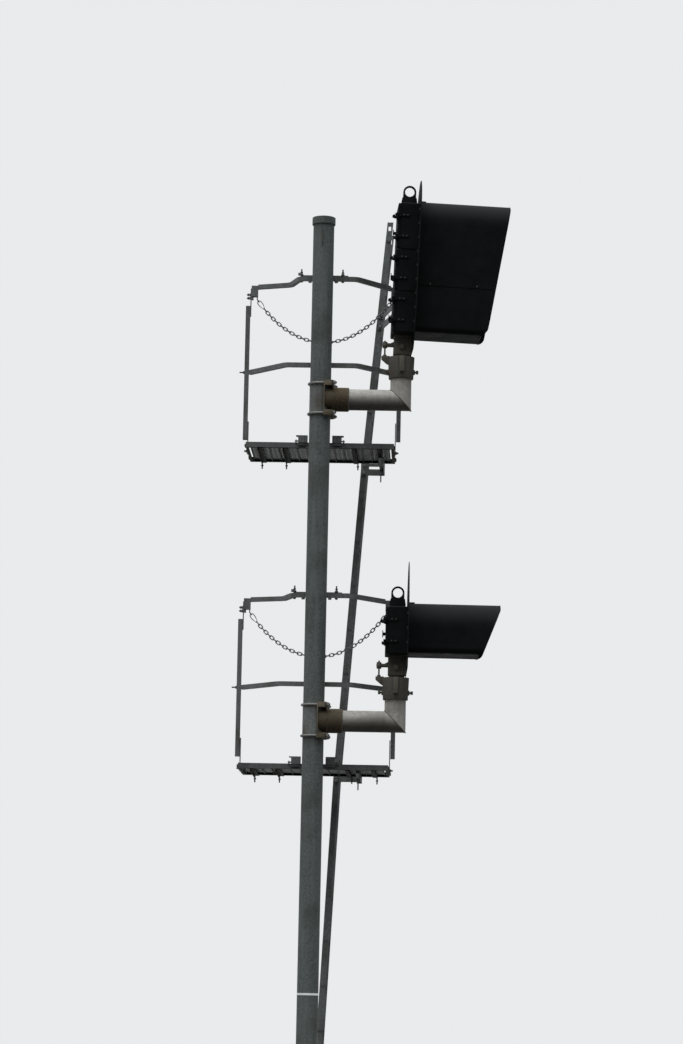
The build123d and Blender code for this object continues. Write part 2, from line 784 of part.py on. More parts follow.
def hood_section(inset, top_centre, bottom):
    # An arch with a flat floor and bent lower edges, drawn in Y and Z
    half = hood_half_width - inset
    bend = hood_bend - inset
    floor = bottom + inset
    lean = bend * (1 - 2 ** -0.5)
    lines = [Line((-half, floor + bend), (-half, top_centre)),
             ThreePointArc((-half, top_centre), (0, top_centre + half), (half, top_centre)),
             Line((half, top_centre), (half, floor + bend)),
             ThreePointArc((half, floor + bend), (half - lean, floor + lean), (half - bend, floor)),
             Line((half - bend, floor), (bend - half, floor)),
             ThreePointArc((bend - half, floor), (lean - half, floor + lean), (-half, floor + bend))]
    return Plane.YZ * make_face(lines)


def make_hood(count, cut_angle):
    top_centre = lamp_heights(count)[-1]
    top = top_centre + hood_half_width
    front = hood_x + hood_length
    outer = Pos(hood_x, 0, 0) * extrude(hood_section(0, top_centre, hood_bottom), hood_length)
    hollow = extrude(hood_section(hood_wall, top_centre, hood_bottom), hood_length)
    hood = outer - Pos(hood_x + hood_wall, 0, 0) * hollow
    if count > 1:
        # The lower sheet is lapped inside the upper one
        floor = hood_bottom - hood_wall
        wide = (-hood_half_width, hood_half_width)
        sheet = Pos(hood_x, 0, 0) * extrude(hood_section(hood_wall, top_centre, floor), hood_length)
        room = extrude(hood_section(2 * hood_wall, top_centre, floor), hood_length)
        step = block((hood_x, front), wide, (hood_bottom, hood_seam_z)) - sheet
        lap = block((hood_x, front), wide, (hood_bottom, hood_seam_z + hood_lap))
        hood = (hood - step) + ((sheet - Pos(hood_x + hood_wall, 0, 0) * room) & lap)
    drop = top - hood_brow - hood_bottom
    back = front - drop * tan(radians(cut_angle))
    low, high, start = hood_bottom - hood_margin, top + hood_margin, hood_x - hood_margin
    profile = [(start, low), (back, low), (front, top - hood_brow), (front, high), (start, high)]
    side = side_prism(profile, hood_half_width + overlap)
    corner = side.edges().filter_by(Axis.Y).filter_by_position(Axis.X, back - 1, back + 1)
    hood = hood & fillet(corner, hood_corner)
    for z in lamp_heights(count):
        hood -= rod((hood_x - overlap, 0, z), (hood_x + hood_wall + overlap, 0, z), plate_hole_d / 2)
    wide = (-hood_clip_half_width, hood_clip_half_width)
    clip = block((hood_x, hood_x + hood_clip_length), wide, (top - hood_clip_root, top + hood_clip_height))
    clip -= block((hood_x + hood_clip_root, front), wide, (top - hood_clip_root, top - hood_clip_seat))
    return hood + clip


def make_lifting_eye(count):
    low = case_top(count) + seat_gap
    centre = case_top(count) + eye_height
    half, ring_r, thin = eye_base_length / 2, eye_od / 2, eye_thickness / 2
    shoulder, shoulder_z = ring_r + eye_shoulder, low + eye_base_height
    profile = [(-half, low), (half, low), (half, low + eye_shoulder_low), (shoulder, shoulder_z),
               (ring_r, shoulder_z), (ring_r, centre), (-ring_r, centre), (-ring_r, shoulder_z),
               (-shoulder, shoulder_z), (-half, low + eye_shoulder_low)]
    plate = Pos(eye_x, 0, 0) * side_prism(profile, thin)
    foot = block((eye_x - half, eye_x + half), (-eye_base_width / 2, eye_base_width / 2),
                 (low, low + eye_foot_height))
    ring = rod((eye_x, -thin, centre), (eye_x, thin, centre), ring_r)
    return plate + foot + ring - rod((eye_x, -ring_r, centre), (eye_x, ring_r, centre), eye_bore / 2)


# Platform, with z at the top of the deck

def joist_bolt_place(x):
    out = 1 if x > 0 else -1
    return x + out * (joist_width - joist_leg) / 2, platform_far - joist_bolt_inset


def make_platform_frame(z):
    length, depth = 2 * platform_half_length, platform_depth
    middle_y = platform_near + depth / 2
    rim = Rectangle(length, depth) - Rectangle(length - 2 * frame_thickness, depth - 2 * frame_thickness)
    ledge = Rectangle(length, depth) - Rectangle(length - 2 * frame_end_leg, depth - 2 * frame_leg)
    frame = extrude(rim, frame_height) + extrude(ledge, frame_thickness)
    frame = Pos(0, middle_y, z - frame_height) * frame
    joist_top = z - frame_height
    half = joist_width / 2
    low = joist_top - joist_height
    for x in joist_x:
        # An angle bar with its upright leg on the outer side, and a long bolt in that leg
        out = 1 if x > 0 else -1
        joist = block((x - half, x + half), (platform_near + joist_inset, platform_far), (low, joist_top))
        under = sorted((x - out * (half + overlap), x + out * (half - joist_leg)))
        joist -= block(under, (platform_near, platform_far + overlap), (low - overlap, joist_top - joist_leg))
        bolt_x, bolt_y = joist_bolt_place(x)
        bolt = rod((bolt_x, bolt_y, joist_top - joist_bolt_drop), (bolt_x, bolt_y, joist_top - overlap),
                   joist_bolt_d / 2)
        frame = fused([frame, joist, bolt])
    return frame


def make_platform_deck(z):
    planks = []
    half = (plank_pitch - plank_gap) / 2
    low = z - frame_height + frame_thickness + seat_gap
    high = low + plank_height
    near, far = deck_edge, platform_far - frame_thickness - seat_gap
    for index in range(plank_count):
        x = (index - (plank_count - 1) / 2) * plank_pitch
        plank = block((x - half, x + half), (near, far), (low, high))
        plank -= block((x - half + plank_wall, x + half - plank_wall), (near - overlap, far + overlap),
                       (low - overlap, high - plank_wall))
        planks.append(plank)
    return planks


def mast_seat(x_half, z_low, z_high, depth):
    # A block hollowed to sit against the far side of the mast
    seat = block((-x_half, x_half), (mast_r - seat_wrap, mast_r + depth), (z_low, z_high))
    return seat - rod((0, 0, z_low - overlap), (0, 0, z_high + overlap), mast_r + seat_gap)


def make_platform_bracket(z):
    # A seat on the mast, with a box and its bolt on each side that hold the platform's near edge
    near = mast_r + seat_gap
    low_z = z - frame_height
    heights = (low_z, low_z + bracket_tie_height)
    bracket = mast_seat(saddle_seat_half, *heights, platform_near - seat_gap - mast_r)
    tie_half = bracket_x + bracket_tie_rim
    bracket += block((-tie_half, tie_half), (near + bracket_tie_start, platform_near - seat_gap), heights)
    for side in (-1, 1):
        inner, outer = side * bracket_x, side * (bracket_x + bracket_width)
        low, high = sorted((inner, outer))
        lug = block((low, high), (near, near + bracket_depth), (z - bracket_low, z + bracket_top))
        lug -= block((low + bracket_wall, high - bracket_wall), (near + bracket_wall, near + bracket_room),
                     (z - bracket_low - overlap, z + bracket_top - bracket_wall))
        lug -= block((low - overlap, high + overlap), (platform_near - seat_gap, near + bracket_room),
                     (z - bracket_room, z + seat_gap))
        reach = sorted((inner, outer + side * bracket_flange))
        lip = block(reach, (near, near + bracket_depth), (z + bracket_top - bracket_wall, z + bracket_top))
        shelf = block((low, high), (near - bracket_shelf_back, near + bracket_shelf_front),
                      (z - bracket_shelf_low, z + bracket_shelf_top))
        bolt_y, bolt_z = near + bracket_bolt_y, z + bracket_bolt_z
        head_x = outer + side * bracket_bolt_start
        bolt = rod((outer - side * bracket_bolt_sink, bolt_y, bolt_z),
                   (head_x + side * bracket_bolt_end, bolt_y, bolt_z), bracket_bolt_d / 2)
        head = hexagon((head_x, bolt_y, bolt_z), (head_x + side * bracket_head_height, bolt_y, bolt_z),
                       bracket_head_flats)
        bracket = fused([bracket, lug, lip, shelf, bolt, head])
    return bracket


def make_rail_bar(rail_z):
    # The flat bar behind the mast that the top rails are bolted to
    near = mast_r + seat_gap
    half = rail_bar_height / 2
    low, high = rail_z - half, rail_z + half
    bar = block((rail_bar_low, rail_bar_high), (near, near + rail_bar_thickness), (low, high))
    bar += mast_seat(saddle_seat_half, low, high, rail_bar_thickness)
    y = near + rail_bar_thickness / 2
    for x in rail_bolt_x:
        bar += rod((x, y, low - rail_bolt_drop), (x, y, high + rail_bolt_rise), rail_bolt_d / 2)
        bar += hexagon((x, y, high - rail_nut_sink), (x, y, high + rail_nut_height), rail_nut_flats)
    for x in (-rail_nub_x, rail_nub_x):
        bar += hexagon((x, y, low - rail_bolt_drop), (x, y, low + rail_nut_sink), rail_nut_flats)
    ear = high + rail_ear_rise
    bar += block((rail_bar_low, rail_bar_low + rail_bar_thickness), (near, near + rail_bar_thickness),
                 (rail_z, ear + rail_ear_half))
    nut_end = rail_bar_low + rail_nut_sink
    return bar + hexagon((rail_bar_low - rail_ear_reach, y, ear), (nut_end, y, ear), rail_ear_flats)


def make_mast_brackets(z):
    # The pieces that hold the platform and the two rails against the mast
    mid_z = z + mid_rail_above_deck
    mid_half = mid_seat_height / 2
    mid = mast_seat(mid_seat_half, mid_z - mid_half, mid_z + mid_half, mid_seat + seat_gap)
    return [make_platform_bracket(z), make_rail_bar(z + top_rail_above_deck), mid]


# Handrails, with z at the top of the deck

def rail_piece(points, radius, z):
    # A square tube bent in plan, drawn solid
    path = FilletPolyline(*points, radius=radius)
    band = trace(path.edges(), tube_size)
    return Pos(0, 0, z - tube_size / 2) * extrude(band, tube_size)


def make_handrails(z):
    top_z = z + top_rail_above_deck
    left = rail_piece([(left_end_x, top_rail_y), (left_bend_x, top_rail_y), (left_jog_x, left_jog_y),
                       (-corner_x - tube_size, post_y + left_end_shift)], rail_bend_radius, top_z)
    right = rail_piece([(right_end_x, top_rail_y), (right_bend_x, top_rail_y),
                        (corner_x + right_end_shift, post_y + right_end_shift)], rail_bend_radius, top_z)
    far = platform_far
    top_room = block((-corner_x, corner_x), (0, far), (top_z - tube_size, top_z + tube_size))
    mid_z = z + mid_rail_above_deck
    mid = rail_piece([(-post_inner + strap_thickness, post_y), (-mid_bend_x, rail_y), (mid_bend_x, rail_y),
                      (post_inner - strap_thickness, post_y)], rail_bend_radius, mid_z)
    reach = post_inner - seat_gap
    mid_room = block((-reach, reach), (0, far), (mid_z - tube_size, mid_z + tube_size))
    return [left & top_room, right & top_room, mid & mid_room]


# Chain between the corner brackets, with z at the top of the deck

def link_outline(length, width, narrow):
    # Eight corners of a ring's middle line, wide at its left end and narrow at its right
    half = length / 2
    shoulder = half - width / 2
    return [(shoulder, narrow / 2, 0), (half, narrow / 4, 0), (half, -narrow / 4, 0),
            (shoulder, -narrow / 2, 0), (-shoulder, -width / 2, 0), (-half, -width / 4, 0),
            (-half, width / 4, 0), (-shoulder, width / 2, 0)]


def make_link():
    middle = link_inside + link_wire
    return polygon_sweep(link_outline(link_pitch + link_wire, middle, middle), link_wire / 2)


def make_hook():
    outline = link_outline(hook_length - hook_wire, hook_width - hook_wire, hook_small)
    return polygon_sweep(outline, hook_wire / 2)


def hanging_places(half_span, length, runs):
    # Where points a given run from the left end of a hanging line come to lie, and its slope there
    low, high = half_span / 4, half_span * 100
    for _ in range(60):
        scale = (low + high) / 2
        if 2 * scale * sinh(half_span / scale) > length:
            low = scale
        else:
            high = scale
    places = []
    for run in runs:
        rise = (run - length / 2) / scale
        x = scale * asinh(rise)
        places.append((x, scale * (cosh(x / scale) - cosh(half_span / scale)), degrees(atan(rise))))
    return places


def chain_runs():
    # Where the hook's and the links' middles lie along the chain, and its length between the eyes' middles
    link_half = (link_pitch + link_wire) / 2
    hook_run = hook_length - hook_wire
    hook_start = chain_eye_r - (chain_eye_wire + hook_wire) / 2 - link_play
    step = link_pitch - link_play
    first = hook_start + hook_run - (hook_wire + link_wire) / 2 - link_play + link_half
    last = first + step * (link_count - 1)
    length = last + link_half + chain_eye_r - (chain_eye_wire + link_wire) / 2 - link_play
    return [hook_start + hook_run / 2] + [first + step * index for index in range(link_count)], length


def make_chain(z):
    eye_z = z + corner_low - chain_eye_drop
    runs, length = chain_runs()
    link = make_link()
    pieces = []
    for index, (x, drop, slope) in enumerate(hanging_places(chain_eye_x, length, runs)):
        shape = link if index else make_hook()
        turn = 90 if index % 2 == 0 else 0
        pieces.append(Pos(x, post_y, eye_z + drop) * Rot(0, -slope, 0) * Rot(turn, 0, 0) * shape)
    return pieces


def make_foot_strap(z, wide):
    # The flat bar at the foot of a post, with the two bolts that hold it to the platform's end
    inner = platform_half_length + seat_gap
    heights = (z - frame_height, z + foot_strap_top)
    foot = block((inner, inner + strap_thickness), wide, heights)
    foot &= block((0, post_inner - seat_gap), wide, heights)
    for y in (post_y - foot_bolt_y, post_y + foot_bolt_y):
        bolt_z = z - foot_bolt_drop
        foot += rod((inner + overlap, y, bolt_z), (inner + foot_bolt_reach, y, bolt_z), foot_bolt_d / 2)
    return foot


def make_head_strap(z, wide):
    # The flat bar at the head of a post, with the corner bracket, its two bolts and the chain's eye
    outer = post_inner - seat_gap
    inner = outer - strap_thickness
    head = block((inner, outer), wide, (z + head_strap_low, z + corner_top - head_strap_drop))
    corner = block((inner - corner_length, inner + corner_sink),
                   (post_y - corner_depth / 2, post_y + corner_depth / 2), (z + corner_low, z + corner_top))
    lug = block((inner - corner_lug_width, inner + corner_sink), wide,
                (z + corner_lug_low, z + corner_low + corner_sink))
    head = fused([head, corner, lug])
    for rise in post_bolt_rises:
        height = z + corner_lug_low + rise
        head += rod((inner, post_y, height), (post_inner + post_bolt_out, post_y, height), post_bolt_d / 2)
        head += hexagon((post_inner - post_nut_sink, post_y, height),
                        (post_inner + post_nut_height, post_y, height), post_nut_flats)
    _, length = chain_runs()
    lean = 90 + hanging_places(chain_eye_x, length, [0])[0][2]
    eye_x = chain_eye_x + chain_eye_r * sin(radians(lean))
    eye_z = z + corner_low - chain_eye_drop
    eye_top = eye_z + chain_eye_r * cos(radians(lean))
    head += rod((eye_x, post_y, eye_top), (eye_x, post_y, z + corner_low + overlap), chain_eye_wire / 2)
    ring = Torus(chain_eye_r, chain_eye_wire / 2)
    return head + Pos(chain_eye_x, post_y, eye_z) * Rot(0, 90 + lean, 0) * ring


def make_rail_posts(z):
    room = tube_size - 2 * tube_wall
    post = Rectangle(tube_size, tube_size) - Rectangle(room, room)
    post = Pos(post_x, post_y, z + post_low) * extrude(post, post_top - post_low)
    wide = (post_y - tube_size / 2, post_y + tube_size / 2)
    pieces = [post, make_foot_strap(z, wide), make_head_strap(z, wide)]
    return pieces + [mirror(piece, Plane.YZ) for piece in pieces]


# Ladder

def ladder_x(z):
    for (x0, z0), (x1, z1) in zip(ladder_knots, ladder_knots[1:]):
        if z <= z1:
            return x0 + (x1 - x0) * (z - z0) / (z1 - z0)
    return x1


def make_ladder_stiles():
    half = stile_width / 2
    right = [(x + half, z) for x, z in ladder_knots]
    left = [(x - half, z) for x, z in reversed(ladder_knots)]
    stile = side_prism(right + left, stile_thickness / 2)
    past = stile_thickness
    slot_z = ladder_top_z - ladder_slot_drop
    slot_x = ladder_x(slot_z)
    stile -= block((slot_x - ladder_slot_half_width, slot_x + ladder_slot_half_width), (-past, past),
                   (slot_z - ladder_slot_half_height, slot_z + ladder_slot_half_height))
    hole = rung_d / 2 - rung_shoulder
    for index in range(rung_count):
        rung_z = first_rung_z + index * rung_pitch
        stile -= rod((ladder_x(rung_z), -past, rung_z), (ladder_x(rung_z), past, rung_z), hole + seat_gap)
    return [Pos(0, ladder_near, 0) * stile, Pos(0, ladder_near + ladder_width, 0) * stile]


def make_ladder_rungs():
    half = stile_thickness / 2 + seat_gap
    near, far = ladder_near, ladder_near + ladder_width
    rungs = []
    for index in range(rung_count):
        z = first_rung_z + index * rung_pitch
        x = ladder_x(z)
        outline = RegularPolygon(rung_d / 2, rung_sides)
        rung = extrude(Plane(origin=(x, near + half, z), z_dir=(0, 1, 0)) * outline, far - near - 2 * half)
        neck_plane = Plane(origin=(x, near - half - overlap, z), z_dir=(0, 1, 0))
        neck = RegularPolygon(rung_d / 2 - rung_shoulder, rung_sides)
        rung += extrude(neck_plane * neck, far - near + 2 * (half + overlap))
        rung += hexagon((x, near - half - rung_nut_height, z), (x, near - half, z), rung_nut_flats)
        rung += hexagon((x, far + half, z), (x, far + half + rung_nut_height, z), rung_nut_flats)
        rungs.append(rung)
    return rungs


def clear_of_rung_nuts(shape):
    # Room for the rung nuts that lie under a bar
    box = shape.bounding_box()
    for index in range(rung_count):
        z = first_rung_z + index * rung_pitch
        if box.min.Z - rung_nut_flats < z < box.max.Z + rung_nut_flats:
            x = ladder_x(z)
            near, far = ladder_near, ladder_near + ladder_width
            for low, high in ((near - rung_nut_length, near), (far, far + rung_nut_length)):
                shape -= rod((x, low, z), (x, high, z), rung_nut_flats / 2 + rung_nut_room)
    return shape


def make_ladder_bracket(deck, outer, web_drop, arm_drop):
    # An arm under the platform and a web from its end to the near stile
    thin = ladder_angle_thickness
    frame_low = deck - frame_height - seat_gap
    near_face = ladder_near - stile_thickness / 2 - seat_gap
    web_top, arm_top = frame_low - web_drop, frame_low - arm_drop
    web_low = web_top - ladder_web_height
    arm_low = min(arm_top - ladder_arm_height, web_low)
    arm_inner = outer - ladder_arm_width
    left = ladder_x(web_top) - stile_width / 2
    faces = (near_face - thin, near_face)
    web = block((left, outer), faces, (web_low, web_top))
    post = block((arm_inner, outer), faces, (arm_low, max(web_top, frame_low)))
    arm = block((outer - thin, outer), (ladder_arm_start, near_face), (arm_low, arm_top))
    shelf = block((arm_inner, outer), (ladder_arm_start, near_face), (arm_top - thin, arm_top))
    bolt_x, bolt_y = arm_inner + joist_bolt_d, near_face - thin / 2
    bolt = rod((bolt_x, bolt_y, arm_low - ladder_bolt_drop), (bolt_x, bolt_y, arm_low + overlap),
               joist_bolt_d / 2)
    bracket = fused([web, post, arm, shelf, bolt])
    if arm_drop:
        top = frame_low + ladder_top_bar
        bracket += block((left, outer), faces, (frame_low - ladder_bar_lap, top))
        bracket += block((left, left + stile_width), faces, (web_low, top))
        bracket += block((arm_inner, outer), faces, (arm_low, top))
    for x in joist_x:
        bolt_x, bolt_y = joist_bolt_place(x)
        bracket -= rod((bolt_x, bolt_y, arm_low - overlap), (bolt_x, bolt_y, frame_low),
                       joist_bolt_d / 2 + seat_gap)
    return clear_of_rung_nuts(bracket)


def make_ladder_stay(z):
    # A flat bar, bent at both ends, from the near stile to a handrail post
    near_face = ladder_near - stile_thickness / 2 - seat_gap - stay_thickness / 2
    post_face = post_y + tube_size / 2 + seat_gap + stay_thickness / 2
    stile = ladder_x(z)
    path = FilletPolyline((stile - stay_start, near_face), (stile + stay_bend, near_face),
                          (post_x - stay_post_bend, post_face), (post_x + stay_end, post_face),
                          radius=stay_radius)
    stay = Pos(0, 0, z - stay_height / 2) * extrude(trace(path.edges(), stay_thickness), stay_height)
    return clear_of_rung_nuts(stay)


def make_ladder_brackets():
    brackets = [make_ladder_bracket(lower_deck_z, lower_bracket_x, -ladder_top_bar, 0),
                make_ladder_bracket(upper_deck_z, upper_bracket_x, upper_bracket_drop, upper_bracket_drop)]
    return brackets + [make_ladder_stay(upper_deck_z + height) for height in stay_levels]


def place_swivel(shape, arm_z, pan):
    return Pos(arm_reach, 0, arm_z) * Rot(0, 0, pan) * shape


def place_head(shape, arm_z, pan, tilt):
    turned = Pos(0, 0, pivot_z) * Rot(0, tilt, 0) * Pos(0, 0, -pivot_z)
    return Pos(arm_reach, 0, arm_z) * Rot(0, 0, pan) * turned * shape


def as_compound(shapes):
    pieces = shapes if isinstance(shapes, list) else [shapes]
    solids = [solid for piece in pieces for solid in piece.solids()]
    return Compound(children=solids) if len(solids) > 1 else solids[0]


def level_nodes(name, deck):
    arm_z = deck + arm_above_deck
    return {
        f"{name}_arm": make_arm(arm_z),
        f"{name}_arm_saddle": make_arm_saddle(arm_z),
        f"{name}_arm_u_bolts": make_arm_u_bolts(arm_z),
        f"{name}_platform_frame": make_platform_frame(deck),
        f"{name}_platform_deck": make_platform_deck(deck),
        f"{name}_mast_brackets": make_mast_brackets(deck),
        f"{name}_handrails": make_handrails(deck),
        f"{name}_rail_posts": make_rail_posts(deck),
        f"{name}_chain": make_chain(deck),
    }


def head_nodes(name, deck, count, pan, tilt, plate_radius, cut_angle):
    arm_z = deck + arm_above_deck
    swivel = {"head_sleeve": make_sleeve(), "mount_bolts": make_mount_bolts()}
    tilting = {
        "head_yoke": make_yoke(),
        "head_case": make_case(count),
        "lifting_eye": make_lifting_eye(count),
        "backplate": make_backplate(count, plate_radius),
        "hood": make_hood(count, cut_angle),
        "lamp_units": [make_lamp_unit(z) for z in lamp_heights(count)],
    }
    for index, z in enumerate(lamp_heights(count)):
        tilting[f"lens_{index + 1}"] = make_lens(z)
        tilting[f"door_{index + 1}"] = make_door(index, count)
    nodes = {}
    for key, shapes in swivel.items():
        shapes = shapes if isinstance(shapes, list) else [shapes]
        nodes[f"{name}_{key}"] = [place_swivel(shape, arm_z, pan) for shape in shapes]
    for key, shapes in tilting.items():
        shapes = shapes if isinstance(shapes, list) else [shapes]
        nodes[f"{name}_{key}"] = [place_head(shape, arm_z, pan, tilt) for shape in shapes]
    return nodes


nodes = {
    "mast": make_mast(),
    "mast_cap": make_mast_cap(),
    "mast_base": make_mast_base(),
    "mast_band": make_mast_band(),
    "mast_staple": make_mast_staple(),
    "ladder_stiles": make_ladder_stiles(),
    "ladder_rungs": make_ladder_rungs(),
    "ladder_brackets": make_ladder_brackets(),
}
nodes.update(level_nodes("lower", lower_deck_z))
nodes.update(level_nodes("upper", upper_deck_z))
nodes.update(head_nodes("lower", lower_deck_z, 1, lower_pan, lower_tilt,
                        lower_plate_radius, lower_hood_cut))
nodes.update(head_nodes("upper", upper_deck_z, 3, upper_pan, upper_tilt,
                        upper_plate_radius, upper_hood_cut))

os.makedirs("parts", exist_ok=True)
for node, shapes in nodes.items():
    export_step(as_compound(shapes), f"parts/{node}.step")
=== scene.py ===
import bpy
import json
from math import asinh, atan, cos, cosh, pi, radians, sin, sinh, sqrt, tan
from mathutils import Matrix, Vector


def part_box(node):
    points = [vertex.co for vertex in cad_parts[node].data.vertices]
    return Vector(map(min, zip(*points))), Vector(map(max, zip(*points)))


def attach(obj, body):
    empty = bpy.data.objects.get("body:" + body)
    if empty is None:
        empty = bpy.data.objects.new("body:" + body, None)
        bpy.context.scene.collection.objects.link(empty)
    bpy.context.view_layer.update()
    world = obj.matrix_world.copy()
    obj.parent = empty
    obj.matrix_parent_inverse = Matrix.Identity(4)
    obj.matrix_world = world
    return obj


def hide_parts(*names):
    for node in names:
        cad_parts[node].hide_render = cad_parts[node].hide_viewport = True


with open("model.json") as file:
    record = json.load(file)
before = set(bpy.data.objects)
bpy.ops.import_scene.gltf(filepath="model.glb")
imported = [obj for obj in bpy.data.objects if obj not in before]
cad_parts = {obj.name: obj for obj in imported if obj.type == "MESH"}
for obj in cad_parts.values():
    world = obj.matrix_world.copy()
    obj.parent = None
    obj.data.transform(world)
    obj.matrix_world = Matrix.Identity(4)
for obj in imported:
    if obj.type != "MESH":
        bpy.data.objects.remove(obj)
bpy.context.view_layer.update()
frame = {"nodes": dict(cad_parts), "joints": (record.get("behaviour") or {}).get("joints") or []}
nodes = frame["nodes"]
joints = {joint["name"]: joint for joint in frame["joints"]}
levels = ("lower", "upper")
mm = 0.001
armAboveDeck = 280.0        # an arm's axis, over its platform's top
armReach = 540.0            # where an arm's axis turns up, from the mast's axis
pivotHeight = 360.0         # a head's tilt axis, over its arm's axis
postPlane = 384.0           # the rail posts and chains, from the mast's axis
print("frame loaded:", len(nodes), "CAD nodes")


# Small helpers

def deselectAll():
    if bpy.context.object and bpy.context.object.mode != "OBJECT":
        bpy.ops.object.mode_set(mode="OBJECT")
    bpy.ops.object.select_all(action="DESELECT")


def pickOnly(obj):
    deselectAll()
    obj.select_set(True)
    bpy.context.view_layer.objects.active = obj


def bakePlace(obj, matrix=None):
    # The object's own place and an extra matrix go into its mesh, so the object sits at the origin
    bpy.context.view_layer.update()
    obj.data.transform((matrix or Matrix.Identity(4)) @ obj.matrix_world)
    obj.matrix_world = Matrix.Identity(4)
    return obj


def joinPieces(pieces, name):
    pickOnly(pieces[0])
    for piece in pieces:
        piece.select_set(True)
    if len(pieces) > 1:
        bpy.ops.object.join()
    whole = bpy.context.object
    whole.name = name
    whole.data.name = name
    return whole


def copyPiece(piece, matrix):
    twin = piece.copy()
    twin.data = piece.data.copy()
    twin.data.transform(matrix)
    bpy.context.scene.collection.objects.link(twin)
    return twin


def applyModifiers(obj):
    pickOnly(obj)
    for modifier in list(obj.modifiers):
        bpy.ops.object.modifier_apply(modifier=modifier.name)


def editAll(obj):
    pickOnly(obj)
    bpy.ops.object.mode_set(mode="EDIT")
    bpy.ops.mesh.select_all(action="SELECT")


def unpickAll(obj, kind):
    # Leaves no part of the mesh picked, so that a loop can pick vertices, edges or faces
    pickOnly(obj)
    bpy.ops.object.mode_set(mode="EDIT")
    bpy.ops.mesh.select_mode(type=kind)
    bpy.ops.mesh.select_all(action="DESELECT")
    bpy.ops.object.mode_set(mode="OBJECT")


def faceOutward():
    # Ends an edit with every face turned outward
    bpy.ops.mesh.select_all(action="SELECT")
    bpy.ops.mesh.normals_make_consistent(inside=False)
    bpy.ops.object.mode_set(mode="OBJECT")


def smoothByAngle(obj, degrees=32):
    pickOnly(obj)
    bpy.ops.object.shade_smooth_by_angle(angle=radians(degrees))


def finishPiece(obj, body, material):
    obj.data.materials.clear()
    obj.data.materials.append(material)
    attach(obj, body)


def pivotFrame(level, up):
    # Heights run from the arm's axis, x from the stub's axis and y along the tilt axis
    tilt = joints[f"{level}_tilt"]
    axis = Vector(tilt["axis"]).normalized()
    turn = Matrix((axis.cross(up), axis, up)).transposed().to_4x4()
    return Matrix.Translation(Vector(tilt["pos_m"])) @ turn @ Matrix.Translation((0, 0, -pivotHeight * mm))


def headMatrix(level):
    return pivotFrame(level, Vector(joints[f"{level}_door_1_hinge"]["axis"]).normalized())


def swivelMatrix(level):
    return pivotFrame(level, Vector((0, 0, 1)))


def deckHeight(level):
    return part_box(f"{level}_platform_frame")[1].z


def armHeight(level):
    return deckHeight(level) + armAboveDeck * mm


# Camera, fitted to the photograph
cameraSettings = {
    "place": (0.8537, -22.460, 1.650),
    "yaw": -0.0309,
    "pitch": 0.1500,
    "roll": 0.0202,
    "focalPixels": 3400,
    "longSide": 1044,
    "sensor": 36,
    "clipEnd": 300,
}


def makeCamera(s):
    data = bpy.data.cameras.new("camera")
    data.sensor_width = s["sensor"]
    data.lens = s["focalPixels"] / s["longSide"] * s["sensor"]
    data.clip_end = s["clipEnd"]
    camera = bpy.data.objects.new("camera", data)
    bpy.context.scene.collection.objects.link(camera)
    ahead = Vector((sin(s["yaw"]) * cos(s["pitch"]), cos(s["yaw"]) * cos(s["pitch"]), sin(s["pitch"])))
    right = Vector((cos(s["yaw"]), -sin(s["yaw"]), 0))
    up = right.cross(ahead)
    turnedRight = right * cos(s["roll"]) + up * sin(s["roll"])
    turnedUp = up * cos(s["roll"]) - right * sin(s["roll"])
    turn = Matrix((turnedRight, turnedUp, -ahead)).transposed().to_4x4()
    camera.matrix_world = Matrix.Translation(s["place"]) @ turn
    bpy.context.scene.camera = camera


makeCamera(cameraSettings)
print("camera placed")


# Colours and nodes

def linearColour(hexCode):
    channels = [int(hexCode[i:i + 2], 16) / 255 for i in (1, 3, 5)]
    linear = [c / 12.92 if c <= 0.04045 else ((c + 0.055) / 1.055) ** 2.4 for c in channels]
    return (*linear, 1.0)


def feed(socket, value):
    # A socket takes another node's output, a hex colour or a plain value
    if hasattr(value, "links"):
        socket.id_data.links.new(value, socket)
    else:
        socket.default_value = linearColour(value) if isinstance(value, str) else value


def addNode(tree, kind, inputs=None, **settings):
    node = tree.nodes.new(kind)
    for name, value in settings.items():
        setattr(node, name, value)
    for name, value in (inputs or {}).items():
        feed(node.inputs[name], value)
    return node


def addMath(tree, operation, *values):
    return addNode(tree, "ShaderNodeMath", dict(enumerate(values)), operation=operation).outputs[0]


def addNoise(tree, place, scale, detail, roughness=0.5):
    return addNode(tree, "ShaderNodeTexNoise", {"Vector": place, "Scale": scale, "Detail": detail,
                   "Roughness": roughness}).outputs["Fac"]


def splitAxes(tree, vector):
    return addNode(tree, "ShaderNodeSeparateXYZ", {"Vector": vector}).outputs


def addRamp(tree, source, stops):
    # Colour stops as (place, hex colour), or (place, number) for a grey
    node = addNode(tree, "ShaderNodeValToRGB", {"Fac": source})
    ramp = node.color_ramp
    while len(ramp.elements) < len(stops):
        ramp.elements.new(0.5)
    for element, (place, value) in zip(ramp.elements, stops):
        element.position = place
        element.color = linearColour(value) if isinstance(value, str) else (value, value, value, 1)
    return node.outputs["Color"]


def mixColours(tree, factor, first, second):
    return addNode(tree, "ShaderNodeMix", {0: factor, 6: first, 7: second}, data_type="RGBA").outputs[2]


def addBump(tree, shader, height, distance, strength):
    bump = addNode(tree, "ShaderNodeBump", {"Height": height, "Distance": distance, "Strength": strength})
    feed(shader.inputs["Normal"], bump.outputs["Normal"])


def newMaterial(name, sockets):
    material = bpy.data.materials.new(name)
    material.use_nodes = True
    tree = material.node_tree
    shader = tree.nodes["Principled BSDF"]
    for socket, value in sockets.items():
        feed(shader.inputs[socket], value)
    return material, tree, shader, addNode(tree, "ShaderNodeTexCoord").outputs["Object"]


